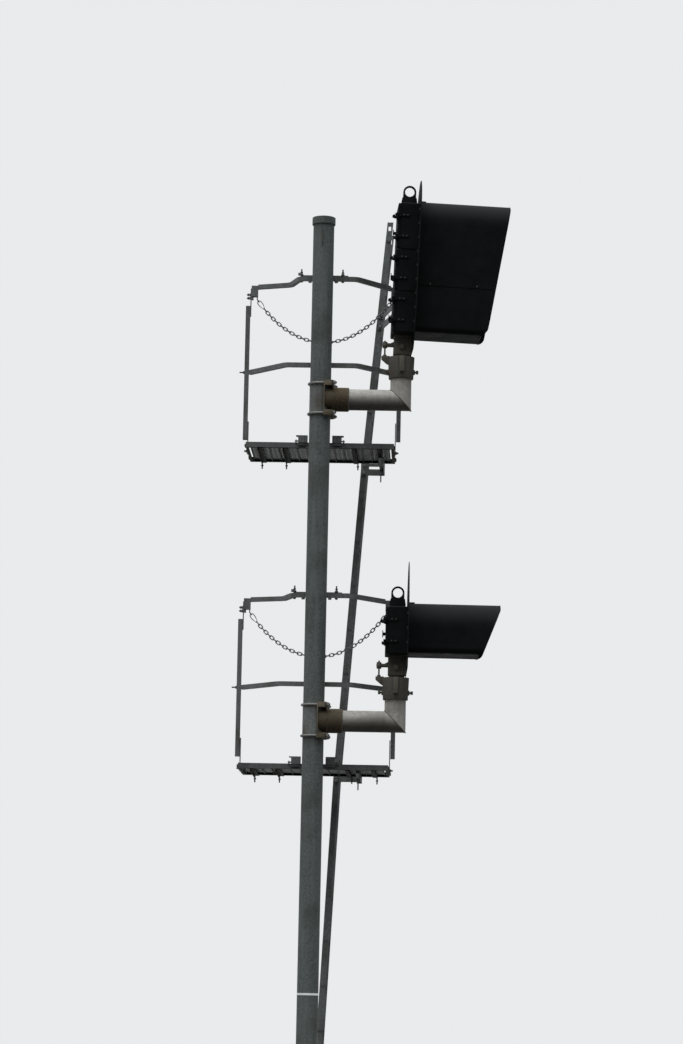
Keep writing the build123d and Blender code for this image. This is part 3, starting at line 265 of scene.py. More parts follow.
def makeGalvanised(name, dark, middle, light, stain, spangleMm, streakMm):
    # Hot-dip zinc, dulled outdoors: grey spangle crystals, long wash streaks and a few dark weather stains
    material, tree, shader, place = newMaterial(name, {"Metallic": 0.04, "Specular IOR Level": 0.18})
    cells = addNode(tree, "ShaderNodeTexVoronoi", {"Vector": place, "Scale": 1 / (spangleMm * mm)})
    spangle = cells.outputs["Color"]
    grain = addRamp(tree, spangle, [(0.0, dark), (0.5, middle), (1.0, light)])
    stretch = addNode(tree, "ShaderNodeMapping", {"Vector": place, "Scale": (1, 1, 0.06)}).outputs["Vector"]
    wash = addRamp(tree, addNoise(tree, stretch, 1 / (streakMm * mm), 6.0, 0.6), [(0.42, 0.0), (0.66, 0.6)])
    dirt = addRamp(tree, addNoise(tree, place, 5.0, 6.0), [(0.48, 0.0), (0.74, 0.7)])
    washed = mixColours(tree, wash, grain, light)
    feed(shader.inputs["Base Color"], mixColours(tree, dirt, washed, stain))
    feed(shader.inputs["Roughness"], addRamp(tree, spangle, [(0.0, 0.58), (1.0, 0.75)]))
    addBump(tree, shader, addNoise(tree, place, 220.0, 3.0), 0.0006, 0.5)
    return material


def colourOver(material, mask, colour):
    base = material.node_tree.nodes["Principled BSDF"].inputs["Base Color"]
    feed(base, mixColours(material.node_tree, mask, base.links[0].from_socket, colour))


armPaintedShade = {
    "above": 30.0,          # fades in from above the axis to below it
    "below": 45.0,
    "amount": 0.82,
}


def makeArmPipe(g, level):
    # Rolled pipe, bright where rain washes it; painted shade darkens the arm's lower half as far as the mitre
    material = makeGalvanised("bright rolled pipe", "#8d8c88", "#9c9b97", "#aeada8", "#6e6b64",
                              spangleMm=16, streakMm=25)
    tree = material.node_tree
    axis = armHeight(level)
    place = splitAxes(tree, addNode(tree, "ShaderNodeTexCoord").outputs["Object"])
    fade = {"Value": place["Z"], "From Min": axis + g["above"] * mm, "From Max": axis - g["below"] * mm,
            "To Max": g["amount"]}
    under = addNode(tree, "ShaderNodeMapRange", fade).outputs["Result"]
    before = addMath(tree, "LESS_THAN", addMath(tree, "ADD", place["X"], place["Z"]), axis + armReach * mm)
    # painted shade: the arm from just above its axis downwards goes dark brown-grey, as far as the mitre
    colourOver(material, addMath(tree, "MULTIPLY", under, before), "#2b2721")
    return material


frameShade = {
    "middle": 393.0,        # of the platform, from the mast's axis
    "half": 303.0,          # its front and back faces lie past this
    "upward": 0.5,
    "sheen": 0.18,
    "darkSheen": 0.02,
}


def makeFrameZinc(s):
    # Galvanised angle; behind its front face, on every face not turned up, painted shade makes it near black
    # and its sheen is turned down
    material = makeGalvanised("galvanised angle with painted shade", "#45474a", "#525557", "#616361", "#2f2b27",
                              spangleMm=9, streakMm=40)
    tree = material.node_tree
    depth = splitAxes(tree, addNode(tree, "ShaderNodeTexCoord").outputs["Object"])["Y"]
    facing = splitAxes(tree, addNode(tree, "ShaderNodeNewGeometry").outputs["Normal"])["Z"]
    behind = addMath(tree, "COMPARE", depth, s["middle"] * mm, s["half"] * mm)
    mask = addMath(tree, "MULTIPLY", behind, addMath(tree, "LESS_THAN", facing, s["upward"]))
    # painted shade: the joists, and the undersides and inner sides of the members, go near black
    colourOver(material, mask, "#161515")
    fade = {"Value": mask, "To Min": s["sheen"], "To Max": s["darkSheen"]}
    sheen = addNode(tree, "ShaderNodeMapRange", fade).outputs["Result"]
    feed(tree.nodes["Principled BSDF"].inputs["Specular IOR Level"], sheen)
    return material


def makeCasting(name, dark, middle, rust, rustAmount):
    # Sand-cast iron: a grainy skin, pale edges that are painted highlight as well as wear, and brown rust
    # that gathers in patches
    material, tree, shader, place = newMaterial(name, {"Roughness": 0.85, "Specular IOR Level": 0.15})
    grain = addNoise(tree, place, 120.0, 8.0, 0.65)
    base = addRamp(tree, grain, [(0.3, dark), (0.7, middle)])
    patches = addNoise(tree, place, 14.0, 7.0, 0.7)
    rustMask = addRamp(tree, patches, [(0.62 - rustAmount * 0.3, 0.0), (0.72, 1.0)])
    rusted = mixColours(tree, rustMask, base, rust)
    edges = addNode(tree, "ShaderNodeNewGeometry").outputs["Pointiness"]
    edgeHighlightAndWearMask = addRamp(tree, edges, [(0.52, 0.0), (0.6, 1.0)])
    # pale edges: a painted highlight on every sharp edge, and wear
    wornAndHighlit = mixColours(tree, 0.45, rusted, "#8b8578")
    feed(shader.inputs["Base Color"], mixColours(tree, edgeHighlightAndWearMask, rusted, wornAndHighlit))
    addBump(tree, shader, grain, 0.0012, 0.7)
    return material


def makeBlackEnamel(name, shade, faded, dustAndTopLight, roughness=0.62):
    # Black enamel on sheet and cast cases: dulled by weather; what faces the sky is painted lighter, for dust
    # and for light from above
    material, tree, shader, place = newMaterial(name, {"Specular IOR Level": 0.02})
    mottle = addNoise(tree, place, 9.0, 8.0, 0.62)
    base = addRamp(tree, mottle, [(0.35, shade), (0.75, faded)])
    facing = splitAxes(tree, addNode(tree, "ShaderNodeNewGeometry").outputs["Normal"])["Z"]
    # painted light and dust: faces turned up are lightened towards the third colour
    upward = addRamp(tree, facing, [(0.2, 0.0), (0.95, 0.85)])
    feed(shader.inputs["Base Color"], mixColours(tree, upward, base, dustAndTopLight))
    feed(shader.inputs["Roughness"], addRamp(tree, mottle, [(0.3, roughness - 0.06), (0.8, roughness + 0.2)]))
    addBump(tree, shader, addNoise(tree, place, 160.0, 4.0), 0.0004, 0.35)
    return material


def makeSignalGlass(name, colour, nodeName):
    # Pressed stepped lens of coloured glass, seen unlit: deep colour with fine rings
    ringWidth = 5.5 * mm
    material, tree, shader, place = newMaterial(name, {"Base Color": colour, "Roughness": 0.18, "IOR": 1.52,
                                                       "Specular IOR Level": 0.2})
    low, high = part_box(nodeName)
    moved = addNode(tree, "ShaderNodeMapping", {"Vector": place, "Location": tuple(-(low + high) / 2)})
    rings = addNode(tree, "ShaderNodeTexWave", {"Vector": moved.outputs["Vector"],
                    "Scale": pi / (10 * ringWidth)}, wave_type="RINGS", rings_direction="X")
    addBump(tree, shader, rings.outputs["Fac"], 0.0008, 0.5)
    return material


def makePlainMetal(name, first, second, metallic, roughness, scale, bump=0.0003):
    # Worked metal with a mottled tone
    material, tree, shader, place = newMaterial(name, {"Metallic": metallic})
    mottle = addNoise(tree, place, scale, 7.0, 0.6)
    feed(shader.inputs["Base Color"], addRamp(tree, mottle, [(0.3, first), (0.7, second)]))
    spread = [(0.3, roughness - 0.08), (0.7, roughness + 0.12)]
    feed(shader.inputs["Roughness"], addRamp(tree, mottle, spread))
    addBump(tree, shader, mottle, bump, 0.5)
    return material


finishes = {
    "mastZinc": makeGalvanised("hot dip galvanised pipe", "#464d4d", "#545b5b", "#676d6c", "#3b3d38",
                               spangleMm=9, streakMm=26),
    "railZinc": makeGalvanised("galvanised tube and angle", "#525658", "#5f6465", "#727574", "#3d3a35",
                               spangleMm=9, streakMm=40),
    "frameZinc": makeFrameZinc(frameShade),
    "deckZinc": makeGalvanised("galvanised pressed plank", "#606466", "#737778", "#868988", "#484742",
                               spangleMm=8, streakMm=30),
    "saddleIron": makeCasting("galvanised casting, rusting", "#3a342b", "#5a5345", "#4d3d2a", 0.4),
    "greyIron": makeCasting("weathered cast iron", "#42423f", "#5b5a56", "#4d4031", 0.25),
    "yokeIron": makeCasting("cast iron, less rusted", "#464642", "#5f5d58", "#4a3f31", 0.15),
    "baseIron": makeCasting("galvanised cast base", "#484c4e", "#5f6365", "#4f4032", 0.2),
    "boltSteel": makePlainMetal("weathered bolt steel", "#2d2925", "#4e4740", 0.4, 0.6, scale=60.0),
    "linerZinc": makeGalvanised("galvanised sheet", "#545a5b", "#666c6c", "#7c8180", "#463c31",
                                spangleMm=10, streakMm=22),
    "boltZinc": makePlainMetal("galvanised bolt", "#5b5d5d", "#7e7f7b", 0.4, 0.5, scale=80.0),
    "darkScrew": makePlainMetal("blackened screw", "#171717", "#2a2927", 0.3, 0.6, scale=80.0),
    "weldSteel": makePlainMetal("weld metal", "#4a453e", "#6a645b", 0.2, 0.7, scale=120.0, bump=0.0006),
    "chainZinc": makePlainMetal("galvanised chain", "#4b4d4f", "#6b6d6e", 0.4, 0.5, scale=90.0),
    "brightBand": makePlainMetal("stainless band", "#b9bcbd", "#d2d4d4", 1.0, 0.25, scale=30.0),
    "blackEnamel": makeBlackEnamel("black enamelled sheet", "#121314", "#1b1c1e", "#2b2d2f"),
    "blackCast": makeBlackEnamel("black enamelled casting", "#141516", "#1f2022", "#2e3032", roughness=0.66),
    "reflector": makePlainMetal("spun aluminium reflector", "#8f8f8d", "#a6a6a4", 1.0, 0.45,
                                scale=15.0, bump=0.0001),
}
for level in levels:
    finishes[level + "Pipe"] = makeArmPipe(armPaintedShade, level)
glassColours = {"red": "#cf1616", "yellow": "#f0980f", "green": "#12ab7b"}
lensColours = {"lower": ("yellow",), "upper": ("red", "yellow", "green")}     # from below
partFinishes = {
    "mast": "mastZinc", "mast_cap": "mastZinc", "mast_base": "baseIron", "mast_band": "brightBand",
    "mast_staple": "boltSteel", "ladder_stiles": "railZinc", "ladder_rungs": "railZinc",
    "ladder_brackets": "railZinc", "arm_saddle": "saddleIron", "arm_u_bolts": "boltSteel",
    "platform_frame": "frameZinc", "platform_deck": "deckZinc", "mast_brackets": "railZinc",
    "handrails": "railZinc", "rail_posts": "railZinc", "chain": "chainZinc", "head_sleeve": "greyIron",
    "mount_bolts": "boltSteel", "head_yoke": "greyIron", "head_case": "blackCast",
    "lifting_eye": "blackCast", "backplate": "blackEnamel", "hood": "blackEnamel", "lamp_units": "reflector",
}


def nodeMaterial(name):
    level, _, part = name.partition("_")
    if level not in levels:
        return finishes[partFinishes[name]]
    if part == "arm":
        return finishes[level + "Pipe"]
    if part.startswith("lens_"):
        colour = lensColours[level][int(part[len("lens_"):]) - 1]
        return makeSignalGlass(colour + " signal glass", glassColours[colour], name)
    return finishes["blackCast" if part.startswith("door_") else partFinishes[part]]


for name, node in nodes.items():
    node.data.materials.clear()
    node.data.materials.append(nodeMaterial(name))
print("materials assigned")


# Fasteners and turned pieces, made at the origin along Z and then put in place

def along(point, way):
    return Matrix.Translation(Vector(point)) @ Vector(way).to_track_quat("Z", "Y").to_matrix().to_4x4()


def turnProfile(steps, sides=24, filled=True):
    # A circle drawn up from step to step, each one a radius and a height in millimetres
    deselectAll()
    radius, height = steps[0]
    bpy.ops.mesh.primitive_circle_add(vertices=sides, radius=radius * mm, location=(0, 0, height * mm),
                                      fill_type="NGON" if filled else "NOTHING")
    obj = bakePlace(bpy.context.object)
    editAll(obj)
    for nextRadius, nextHeight in steps[1:]:
        bpy.ops.mesh.extrude_region_move(TRANSFORM_OT_translate={"value": (0, 0, (nextHeight - height) * mm)})
        factor = nextRadius / radius
        bpy.ops.transform.resize(value=(factor, factor, 1), center_override=(0, 0, nextHeight * mm))
        radius, height = nextRadius, nextHeight
    bpy.ops.mesh.select_all(action="SELECT")
    bpy.ops.mesh.remove_doubles(threshold=1e-6)
    faceOutward()
    return obj


def makeHexagon(flats, height, sides=6):
    # A nut or a bolt head with its corners turned down
    corner = flats / 2 / cos(pi / sides)
    return turnProfile([(corner * 0.9, 0), (corner, height * 0.12), (corner, height * 0.88),
                        (corner * 0.9, height)], sides=sides)


def makeWasher(outer, inner, thickness):
    inside, outside, edge = inner / 2, outer / 2, thickness * 0.2
    return turnProfile([(inside, 0), (outside - edge, 0), (outside, edge), (outside, thickness - edge),
                        (outside - edge, thickness), (inside, thickness), (inside, 0)], filled=False)


def makeThread(diameter, length, pitch=2.5, sides=10):
    # Rings for the thread, with a chamfered end
    root = diameter / 2 * 0.86
    steps = [(root, 0)]
    for index in range(int(length / pitch)):
        low = index * pitch
        steps += [(diameter / 2, low + pitch * 0.5), (root, low + pitch)]
    return turnProfile([*steps, (root, length - 0.8), (root * 0.8, length)], sides=sides)


def gather(pieces, name):
    # Copies of made pieces, each moved by its matrix, joined as one
    copies = [copyPiece(piece, matrix) for piece, matrix in pieces]
    for piece in {piece for piece, _ in pieces}:
        bpy.data.objects.remove(piece)
    whole = joinPieces(copies, name)
    smoothByAngle(whole)
    return whole


def weldBead(radius, width, stretch=1.0):
    # A rippled bead round a joint; stretched where a pipe is cut on the slant
    deselectAll()
    bpy.ops.mesh.primitive_torus_add(major_radius=radius * mm, minor_radius=width / 2 * mm,
                                     major_segments=120, minor_segments=7)
    bead = bpy.context.object
    ripple = bpy.data.textures.new("weld ripple", "CLOUDS")
    ripple.noise_scale = 6 * mm
    lumps = bead.modifiers.new("ripple", "DISPLACE")
    lumps.texture = ripple
    lumps.strength = width * 0.45 * mm
    applyModifiers(bead)
    editAll(bead)
    bpy.ops.transform.resize(value=(stretch, 1, 1), center_override=(0, 0, 0))
    bpy.ops.object.mode_set(mode="OBJECT")
    return bead


def solidify(obj, thickness, offset):
    wall = obj.modifiers.new("wall", "SOLIDIFY")
    wall.thickness = thickness * mm
    wall.offset = offset
    applyModifiers(obj)


# Castings: the CAD shape with its sharp edges rounded as sand casting leaves them
castings = {"mast_base": (4.0, "cast_base", "baseIron", "mast_assembly")}
for level in levels:
    castings.update({
        f"{level}_arm_saddle": (3.0, "rusty_casting", "saddleIron", "mast_assembly"),
        f"{level}_head_sleeve": (2.0, "grey_casting", "greyIron", f"{level}_swivel"),
        f"{level}_head_yoke": (1.6, "grey_casting", "yokeIron", f"{level}_head"),
        f"{level}_lifting_eye": (2.2, "black_paint", "blackCast", f"{level}_head"),
    })
# Between its ears, and past its face against the mast, a saddle is as round as its socket
saddleWaist = {
    "radius": 84.0,
    "half": 100.0,
    "front": 31.0,
    "back": 87.0,
}


def cutAway(piece, cutter):
    cut = piece.modifiers.new("cut", "BOOLEAN")
    cut.operation = "DIFFERENCE"
    cut.solver = "EXACT"
    cut.object = cutter
    applyModifiers(piece)
    bpy.data.objects.remove(cutter)


def roundWaist(w, saddle, level):
    middle = ((w["front"] + w["back"]) / 2 * mm, 0, armHeight(level))
    deselectAll()
    bpy.ops.mesh.primitive_cylinder_add(vertices=96, radius=w["radius"] * mm, depth=1.0,
                                        location=middle, rotation=(0, pi / 2, 0))
    keep = bakePlace(bpy.context.object)
    deselectAll()
    bpy.ops.mesh.primitive_cube_add(size=1, location=middle)
    block = bpy.context.object
    block.scale = ((w["back"] - w["front"]) * mm, 2 * w["half"] * mm, 2 * w["radius"] * mm)
    bakePlace(block)
    cutAway(block, keep)
    cutAway(saddle, block)


def softenCasting(nodeName, width, slotName, finish, body):
    twin = copyPiece(nodes[nodeName], Matrix.Identity(4))
    twin.name = nodeName + "_cast"
    editAll(twin)
    bpy.ops.mesh.remove_doubles(threshold=1e-5)
    bpy.ops.mesh.dissolve_limited(angle_limit=radians(1.5))
    bpy.ops.object.mode_set(mode="OBJECT")
    if nodeName.endswith("arm_saddle"):
        roundWaist(saddleWaist, twin, nodeName.split("_")[0])
    rounding = twin.modifiers.new("rounding", "BEVEL")
    rounding.width = width * mm
    rounding.segments = 2
    rounding.limit_method = "ANGLE"
    rounding.angle_limit = radians(35)
    applyModifiers(twin)
    smoothByAngle(twin, 40)
    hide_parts(nodeName)
    finishPiece(twin, body, finishes[finish])


for nodeName, choices in castings.items():
    softenCasting(nodeName, *choices)
print("castings rounded")


# Platform planks, pressed with rows of slots
plank = {
    "count": 15,
    "pitch": 62.8,
    "width": 62.2,
    "length": 599.4,
    "near": 93.3,
    "below": 17.7,          # the planks' tops, under the frame's top
    "depth": 15.0,
    "sheet": 1.2,
    "rows": 2,
    "slots": 14,
    "slotWidth": 6.0,
    "slotLength": 13.0,
    "lip": 0.4,
}


def selectMiddleFace(tile):
    unpickAll(tile, "FACE")
    for face in tile.data.polygons:
        face.select = face.center.length < 1e-4
    bpy.ops.object.mode_set(mode="EDIT")


def plankX(p, index):
    return (index - (p["count"] - 1) / 2) * p["pitch"]


def makePlankTile(p, width, length):
    # One slot and the sheet round it
    deselectAll()
    bpy.ops.mesh.primitive_grid_add(x_subdivisions=3, y_subdivisions=3, size=1)
    tile = bpy.context.object
    editAll(tile)
    bpy.ops.transform.resize(value=(width * mm, length * mm, 1), center_override=(0, 0, 0))
    selectMiddleFace(tile)
    bpy.ops.transform.resize(value=(3 * p["slotWidth"] / width, 3 * p["slotLength"] / length, 1),
                             center_override=(0, 0, 0))
    bpy.ops.mesh.bevel(affect="VERTICES", offset=p["slotWidth"] * 0.32 * mm, offset_type="OFFSET")
    selectMiddleFace(tile)
    bpy.ops.mesh.extrude_region_move(TRANSFORM_OT_translate={"value": (0, 0, p["lip"] * mm)})
    bpy.ops.transform.resize(value=(0.86, 0.92, 1), center_override=(0, 0, 0))
    bpy.ops.mesh.delete(type="FACE")
    bpy.ops.object.mode_set(mode="OBJECT")
    return tile


def repeatTile(tile, axis, count, step):
    rows = tile.modifiers.new("rows", "ARRAY")
    rows.count = count
    rows.use_relative_offset = False
    rows.use_constant_offset = True
    rows.constant_offset_displace = [step * mm if index == axis else 0 for index in range(3)]
    rows.use_merge_vertices = True
    rows.merge_threshold = 1e-5
    applyModifiers(tile)


def makePlanks(p, level):
    tileWidth, tileLength = p["width"] / p["rows"], p["length"] / p["slots"]
    tile = makePlankTile(p, tileWidth, tileLength)
    repeatTile(tile, 0, p["rows"], tileWidth)
    repeatTile(tile, 1, p["slots"], tileLength)
    # The long edges turn down
    sides = (-tileWidth / 2 * mm, (p["width"] - tileWidth / 2) * mm)
    unpickAll(tile, "EDGE")
    points = tile.data.vertices
    for edge in tile.data.edges:
        xs = [points[index].co.x for index in edge.vertices]
        edge.select = any(all(abs(x - side) < 1e-5 for x in xs) for side in sides)
    bpy.ops.object.mode_set(mode="EDIT")
    bpy.ops.mesh.extrude_region_move(TRANSFORM_OT_translate={"value": (0, 0, (p["sheet"] - p["depth"]) * mm)})
    faceOutward()
    solidify(tile, p["sheet"], -1 if tile.data.polygons[0].normal.z > 0 else 1)
    y, top = (p["near"] + tileLength / 2) * mm, deckHeight(level) - p["below"] * mm
    pieces = []
    for index in range(p["count"]):
        x = plankX(p, index) - (p["width"] - tileWidth) / 2
        pieces.append((tile, Matrix.Translation((x * mm, y, top))))
    deck = gather(pieces, f"{level}_planks")
    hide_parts(f"{level}_platform_deck")
    finishPiece(deck, "mast_assembly", finishes["deckZinc"])


for level in levels:
    makePlanks(plank, level)
print("planks made")


# Chains with a snap hook at the left end
chain = {
    "span": 456.0,          # middle of the mast's plane to an eye's middle
    "aboveDeck": 1035.0,
    "wire": 7.0,
    "pitch": 27.8,
    "inside": 12.6,
    "play": 0.4,
    "count": 38,
    "eye": 11.0,
    "hook": (75.0, 33.0, 15.0, 6.0),     # length, width, narrow end, wire
}


def makeOvalLink(length, width, wire, narrow=None, sides=(20, 8)):
    # A ring pulled long, and for a hook narrowed at its right end
    deselectAll()
    middle = (width - wire) / 2
    bpy.ops.mesh.primitive_torus_add(major_radius=middle * mm, minor_radius=wire / 2 * mm,
                                     major_segments=sides[0], minor_segments=sides[1])
    link = bpy.context.object
    pull = (length - width) / 2 * mm
    for side in (-1, 1):
        unpickAll(link, "VERT")
        for vertex in link.data.vertices:
            vertex.select = vertex.co.x * side > 1e-5
        bpy.ops.object.mode_set(mode="EDIT")
        bpy.ops.transform.translate(value=(side * pull, 0, 0))
        if narrow and side > 0:
            bpy.ops.transform.resize(value=(1, (narrow - wire) / (width - wire), 1),
                                     center_override=(0, 0, 0))
        bpy.ops.object.mode_set(mode="OBJECT")
    return link


def hangingPlaces(halfSpan, length, runs):
    # Where points a given run from the left end of a hanging line lie, and the slope there
    low, high = halfSpan / 4, halfSpan * 100
    for _ in range(60):
        scale = (low + high) / 2
        if 2 * scale * sinh(halfSpan / scale) > length:
            low = scale
        else:
            high = scale
    places = []
    for run in runs:
        rise = (run - length / 2) / scale
        x = scale * asinh(rise)
        places.append((x, scale * (cosh(x / scale) - cosh(halfSpan / scale)), atan(rise)))
    return places


def makeChain(c, level):
    hookLength, hookWidth, hookNarrow, hookWire = c["hook"]
    linkHalf = (c["pitch"] + c["wire"]) / 2
    hookRun = hookLength - hookWire
    hookStart = c["eye"] - (c["wire"] + hookWire) / 2 - c["play"]
    first = hookStart + hookRun - (hookWire + c["wire"]) / 2 - c["play"] + linkHalf
    step = c["pitch"] - c["play"]
    runs = [hookStart + hookRun / 2] + [first + step * index for index in range(c["count"])]
    length = runs[-1] + linkHalf + c["eye"] - c["wire"] - c["play"]
    link = makeOvalLink(c["pitch"] + 2 * c["wire"], c["inside"] + 2 * c["wire"], c["wire"])
    hook = makeOvalLink(hookLength, hookWidth, hookWire, narrow=hookNarrow + hookWire, sides=(32, 10))
    eyeHeight = deckHeight(level) + c["aboveDeck"] * mm
    pieces = []
    for index, (x, drop, slope) in enumerate(hangingPlaces(c["span"], length, runs)):
        place = Matrix.Translation((x * mm, postPlane * mm, eyeHeight + drop * mm))
        turn = Matrix.Rotation(-slope, 4, "Y") @ Matrix.Rotation(pi / 2 if index % 2 == 0 else 0, 4, "X")
        pieces.append((link if index else hook, place @ turn))
    whole = gather(pieces, f"{level}_hung_chain")
    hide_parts(f"{level}_chain")
    finishPiece(whole, "mast_assembly", finishes["chainZinc"])


for level in levels:
    makeChain(chain, level)
print("chains hung")


# U-bolts round the mast, with threads, nuts and washers
uBolt = {
    "bend": 78.95,          # middle of the bar, from the mast's axis
    "bar": 16.0,
    "end": 112.0,
    "thread": 40.0,
    "face": 88.3,           # of the saddle, where the washers sit
    "offset": 102.5,        # above and below the arm's axis
    "flats": 24.0,
    "nut": 13.0,
    "washer": (34.0, 3.0),
}


def makeUBolts(u, level):
    deselectAll()
    bpy.ops.mesh.primitive_circle_add(vertices=14, radius=u["bar"] / 2 * mm, fill_type="NGON",
                                      rotation=(0, pi / 2, 0), location=(0, -u["bend"] * mm, 0))
    bow = bakePlace(bpy.context.object)
    editAll(bow)
    bpy.ops.mesh.spin(steps=28, angle=pi, center=(0, 0, 0), axis=(0, 0, 1))
    faceOutward()
    threadStart = u["end"] - u["thread"]
    leg = turnProfile([(u["bar"] / 2, 0), (u["bar"] / 2, threadStart)], sides=14)
    thread = makeThread(u["bar"], u["thread"])
    nut = makeHexagon(u["flats"], u["nut"])
    washer = makeWasher(u["washer"][0], u["bar"], u["washer"][1])
    pieces = []
    for rise in (-u["offset"], u["offset"]):
        height = armHeight(level) + rise * mm
        pieces.append((bow, Matrix.Translation((0, 0, height))))
        for side in (-u["bend"], u["bend"]):
            for piece, x in ((leg, 0), (thread, threadStart), (washer, u["face"]),
                             (nut, u["face"] + u["washer"][1])):
                pieces.append((piece, along((x * mm, side * mm, height), (1, 0, 0))))
    bolts = gather(pieces, f"{level}_saddle_u_bolts")
    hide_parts(f"{level}_arm_u_bolts")
    finishPiece(bolts, "mast_assembly", finishes["boltZinc"])


# Pivot bolt, adjusting stud and the four set screws of a head's mount
mountBolts = {
    "pivot": (20.0, 32.0, 14.0),         # bar, flats, head
    "cheek": 52.4,
    "washer": (42.0, 2.5),
    "pivotEnd": 76.4,
    "pivotThread": 14.0,
    "studX": -112.0,
    "stud": (12.0, 263.0, 407.0),        # bar, foot, top
    "studNut": (24.0, 300.3, 10.0),      # flats, foot, height
    "screwHeight": 194.0,
    "screw": (14.0, 71.1, 114.0),        # bar, tip, thread's end
    "screwHead": (22.0, 17.0, 99.0),     # flats, height, foot
    "finePitch": 2.0,
}


def makeMountBolts(m, level):
    frameMatrix = swivelMatrix(level)
    bar, flats, headHeight = m["pivot"]
    pivotLow = -m["cheek"] - m["washer"][1]
    threadStart = m["pivotEnd"] - m["pivotThread"]
    washer = makeWasher(m["washer"][0], bar, m["washer"][1])
    bolt = makeHexagon(flats, headHeight)
    shank = turnProfile([(bar / 2, 0), (bar / 2, threadStart - pivotLow)], sides=18)
    end = makeThread(bar, m["pivotThread"])
    pieces = []
    for piece, y in ((bolt, pivotLow - headHeight), (washer, pivotLow), (shank, pivotLow),
                     (washer, m["cheek"]), (bolt, m["cheek"] + m["washer"][1]), (end, threadStart)):
        pieces.append((piece, frameMatrix @ along((0, y * mm, pivotHeight * mm), (0, 1, 0))))
    studBar, studLow, studTop = m["stud"]
    nutFlats, nutLow, nutHeight = m["studNut"]
    for piece, z in ((makeThread(studBar, studTop - studLow, pitch=m["finePitch"]), studLow),
                     (makeHexagon(nutFlats, nutHeight), nutLow)):
        pieces.append((piece, frameMatrix @ Matrix.Translation((m["studX"] * mm, 0, z * mm))))
    screwBar, tip, threadEnd = m["screw"]
    square, squareHeight, squareFoot = m["screwHead"]
    screw = makeThread(screwBar, threadEnd - tip, pitch=m["finePitch"])
    squareHead = makeHexagon(square, squareHeight, sides=4)
    for quarter in range(4):
        turn = Matrix.Rotation(quarter * pi / 2, 4, "Z")
        for piece, x in ((screw, tip), (squareHead, squareFoot)):
            place = along((x * mm, 0, m["screwHeight"] * mm), (1, 0, 0)) @ Matrix.Rotation(pi / 4, 4, "Z")
            pieces.append((piece, frameMatrix @ turn @ place))
    bolts = gather(pieces, f"{level}_head_mount_bolts")
    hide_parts(f"{level}_mount_bolts")
    finishPiece(bolts, f"{level}_swivel", finishes["boltSteel"])


# Welds on the elbow and where it enters its socket
armWelds = {
    "pipe": 141.3,
    "socketEnd": 190.0,
    "mitreBead": 6.0,
    "socketBead": 11.0,
}


def makeArmWelds(w, level):
    mitre = weldBead(w["pipe"] / 2, w["mitreBead"], stretch=sqrt(2))
    socket = weldBead(w["pipe"] / 2, w["socketBead"])
    pieces = []
    for bead, x, turn in ((mitre, armReach, pi / 4), (socket, w["socketEnd"], pi / 2)):
        place = Matrix.Translation((x * mm, 0, armHeight(level)))
        pieces.append((bead, place @ Matrix.Rotation(turn, 4, "Y")))
    beads = gather(pieces, f"{level}_arm_welds")
    finishPiece(beads, "mast_assembly", finishes["weldSteel"])


# The curved sheet between the mast and its U-bolts
liner = {
    "inner": 70.9,
    "thickness": 2.0,
    "halfHeight": 92.0,
    "edge": 20.0,           # how far past the mast's middle it reaches towards the arm
}


def makeLiner(s, level):
    deselectAll()
    bpy.ops.mesh.primitive_cylinder_add(vertices=64, radius=s["inner"] * mm, depth=2 * s["halfHeight"] * mm,
                                        end_fill_type="NOTHING")
    sheet = bakePlace(bpy.context.object)
    editAll(sheet)
    bpy.ops.mesh.bisect(plane_co=(s["edge"] * mm, 0, 0), plane_no=(1, 0, 0), clear_outer=True)
    bpy.ops.object.mode_set(mode="OBJECT")
    solidify(sheet, s["thickness"], 1)
    whole = gather([(sheet, Matrix.Translation((0, 0, armHeight(level))))], f"{level}_mast_liner")
    finishPiece(whole, "mast_assembly", finishes["linerZinc"])


for level in levels:
    makeLiner(liner, level)
    makeUBolts(uBolt, level)
    makeMountBolts(mountBolts, level)
    makeArmWelds(armWelds, level)
print("arm fasteners and welds made")


# Lenses with their rings, screws on the cases, hoods and lifting eyes
head = {
    "firstLamp": 612.0,
    "lampPitch": 288.0,
    "lampCount": {"lower": 1, "upper": 3},
    "lensBack": 79.0,
    "lensRadius": 106.2,
    "lensRim": 5.0,
    "lensDome": 12.0,
    "lensSteps": 8,
    "lensStep": 2.4,
    "ringFace": 94.0,
    "clipRing": 116.0,
    "clipScrews": 8,
    "plateBack": 70.3,
    "sideScrew": 160.0,
    "sideRises": (-96.0, 0.0, 96.0),
    "archScrew": 165.0,
    "archAngles": (60, 90, 120),
    "screw": (13.0, 6.0),   # flats, height
    "clipScrew": (10.0, 5.0),
    "washer": (22.0, 8.0, 2.0),
    "rivet": ((6, 0), (6, 1), (4.4, 3), (2, 4)),
    "hoodRoot": 73.6,
    "hoodHalf": 180.0,
    "rivets": (88.0, 403.0),
    "seam": 772.0,
    "caseTop": 756.0,
    "eyeX": 2.0,
    "eyeScrew": (44.0, 15.0),
    "eyeFoot": 12.3,
    "strapFace": -145.0,
    "strapScrews": (-34.0, -8.0),
    "doorFoot": 440.0,
    "hinges": (0.76, 0.26),
    "knuckle": 9.0,
}


def lampHeights(h, level):
    return [h["firstLamp"] + index * h["lampPitch"] for index in range(h["lampCount"][level])]


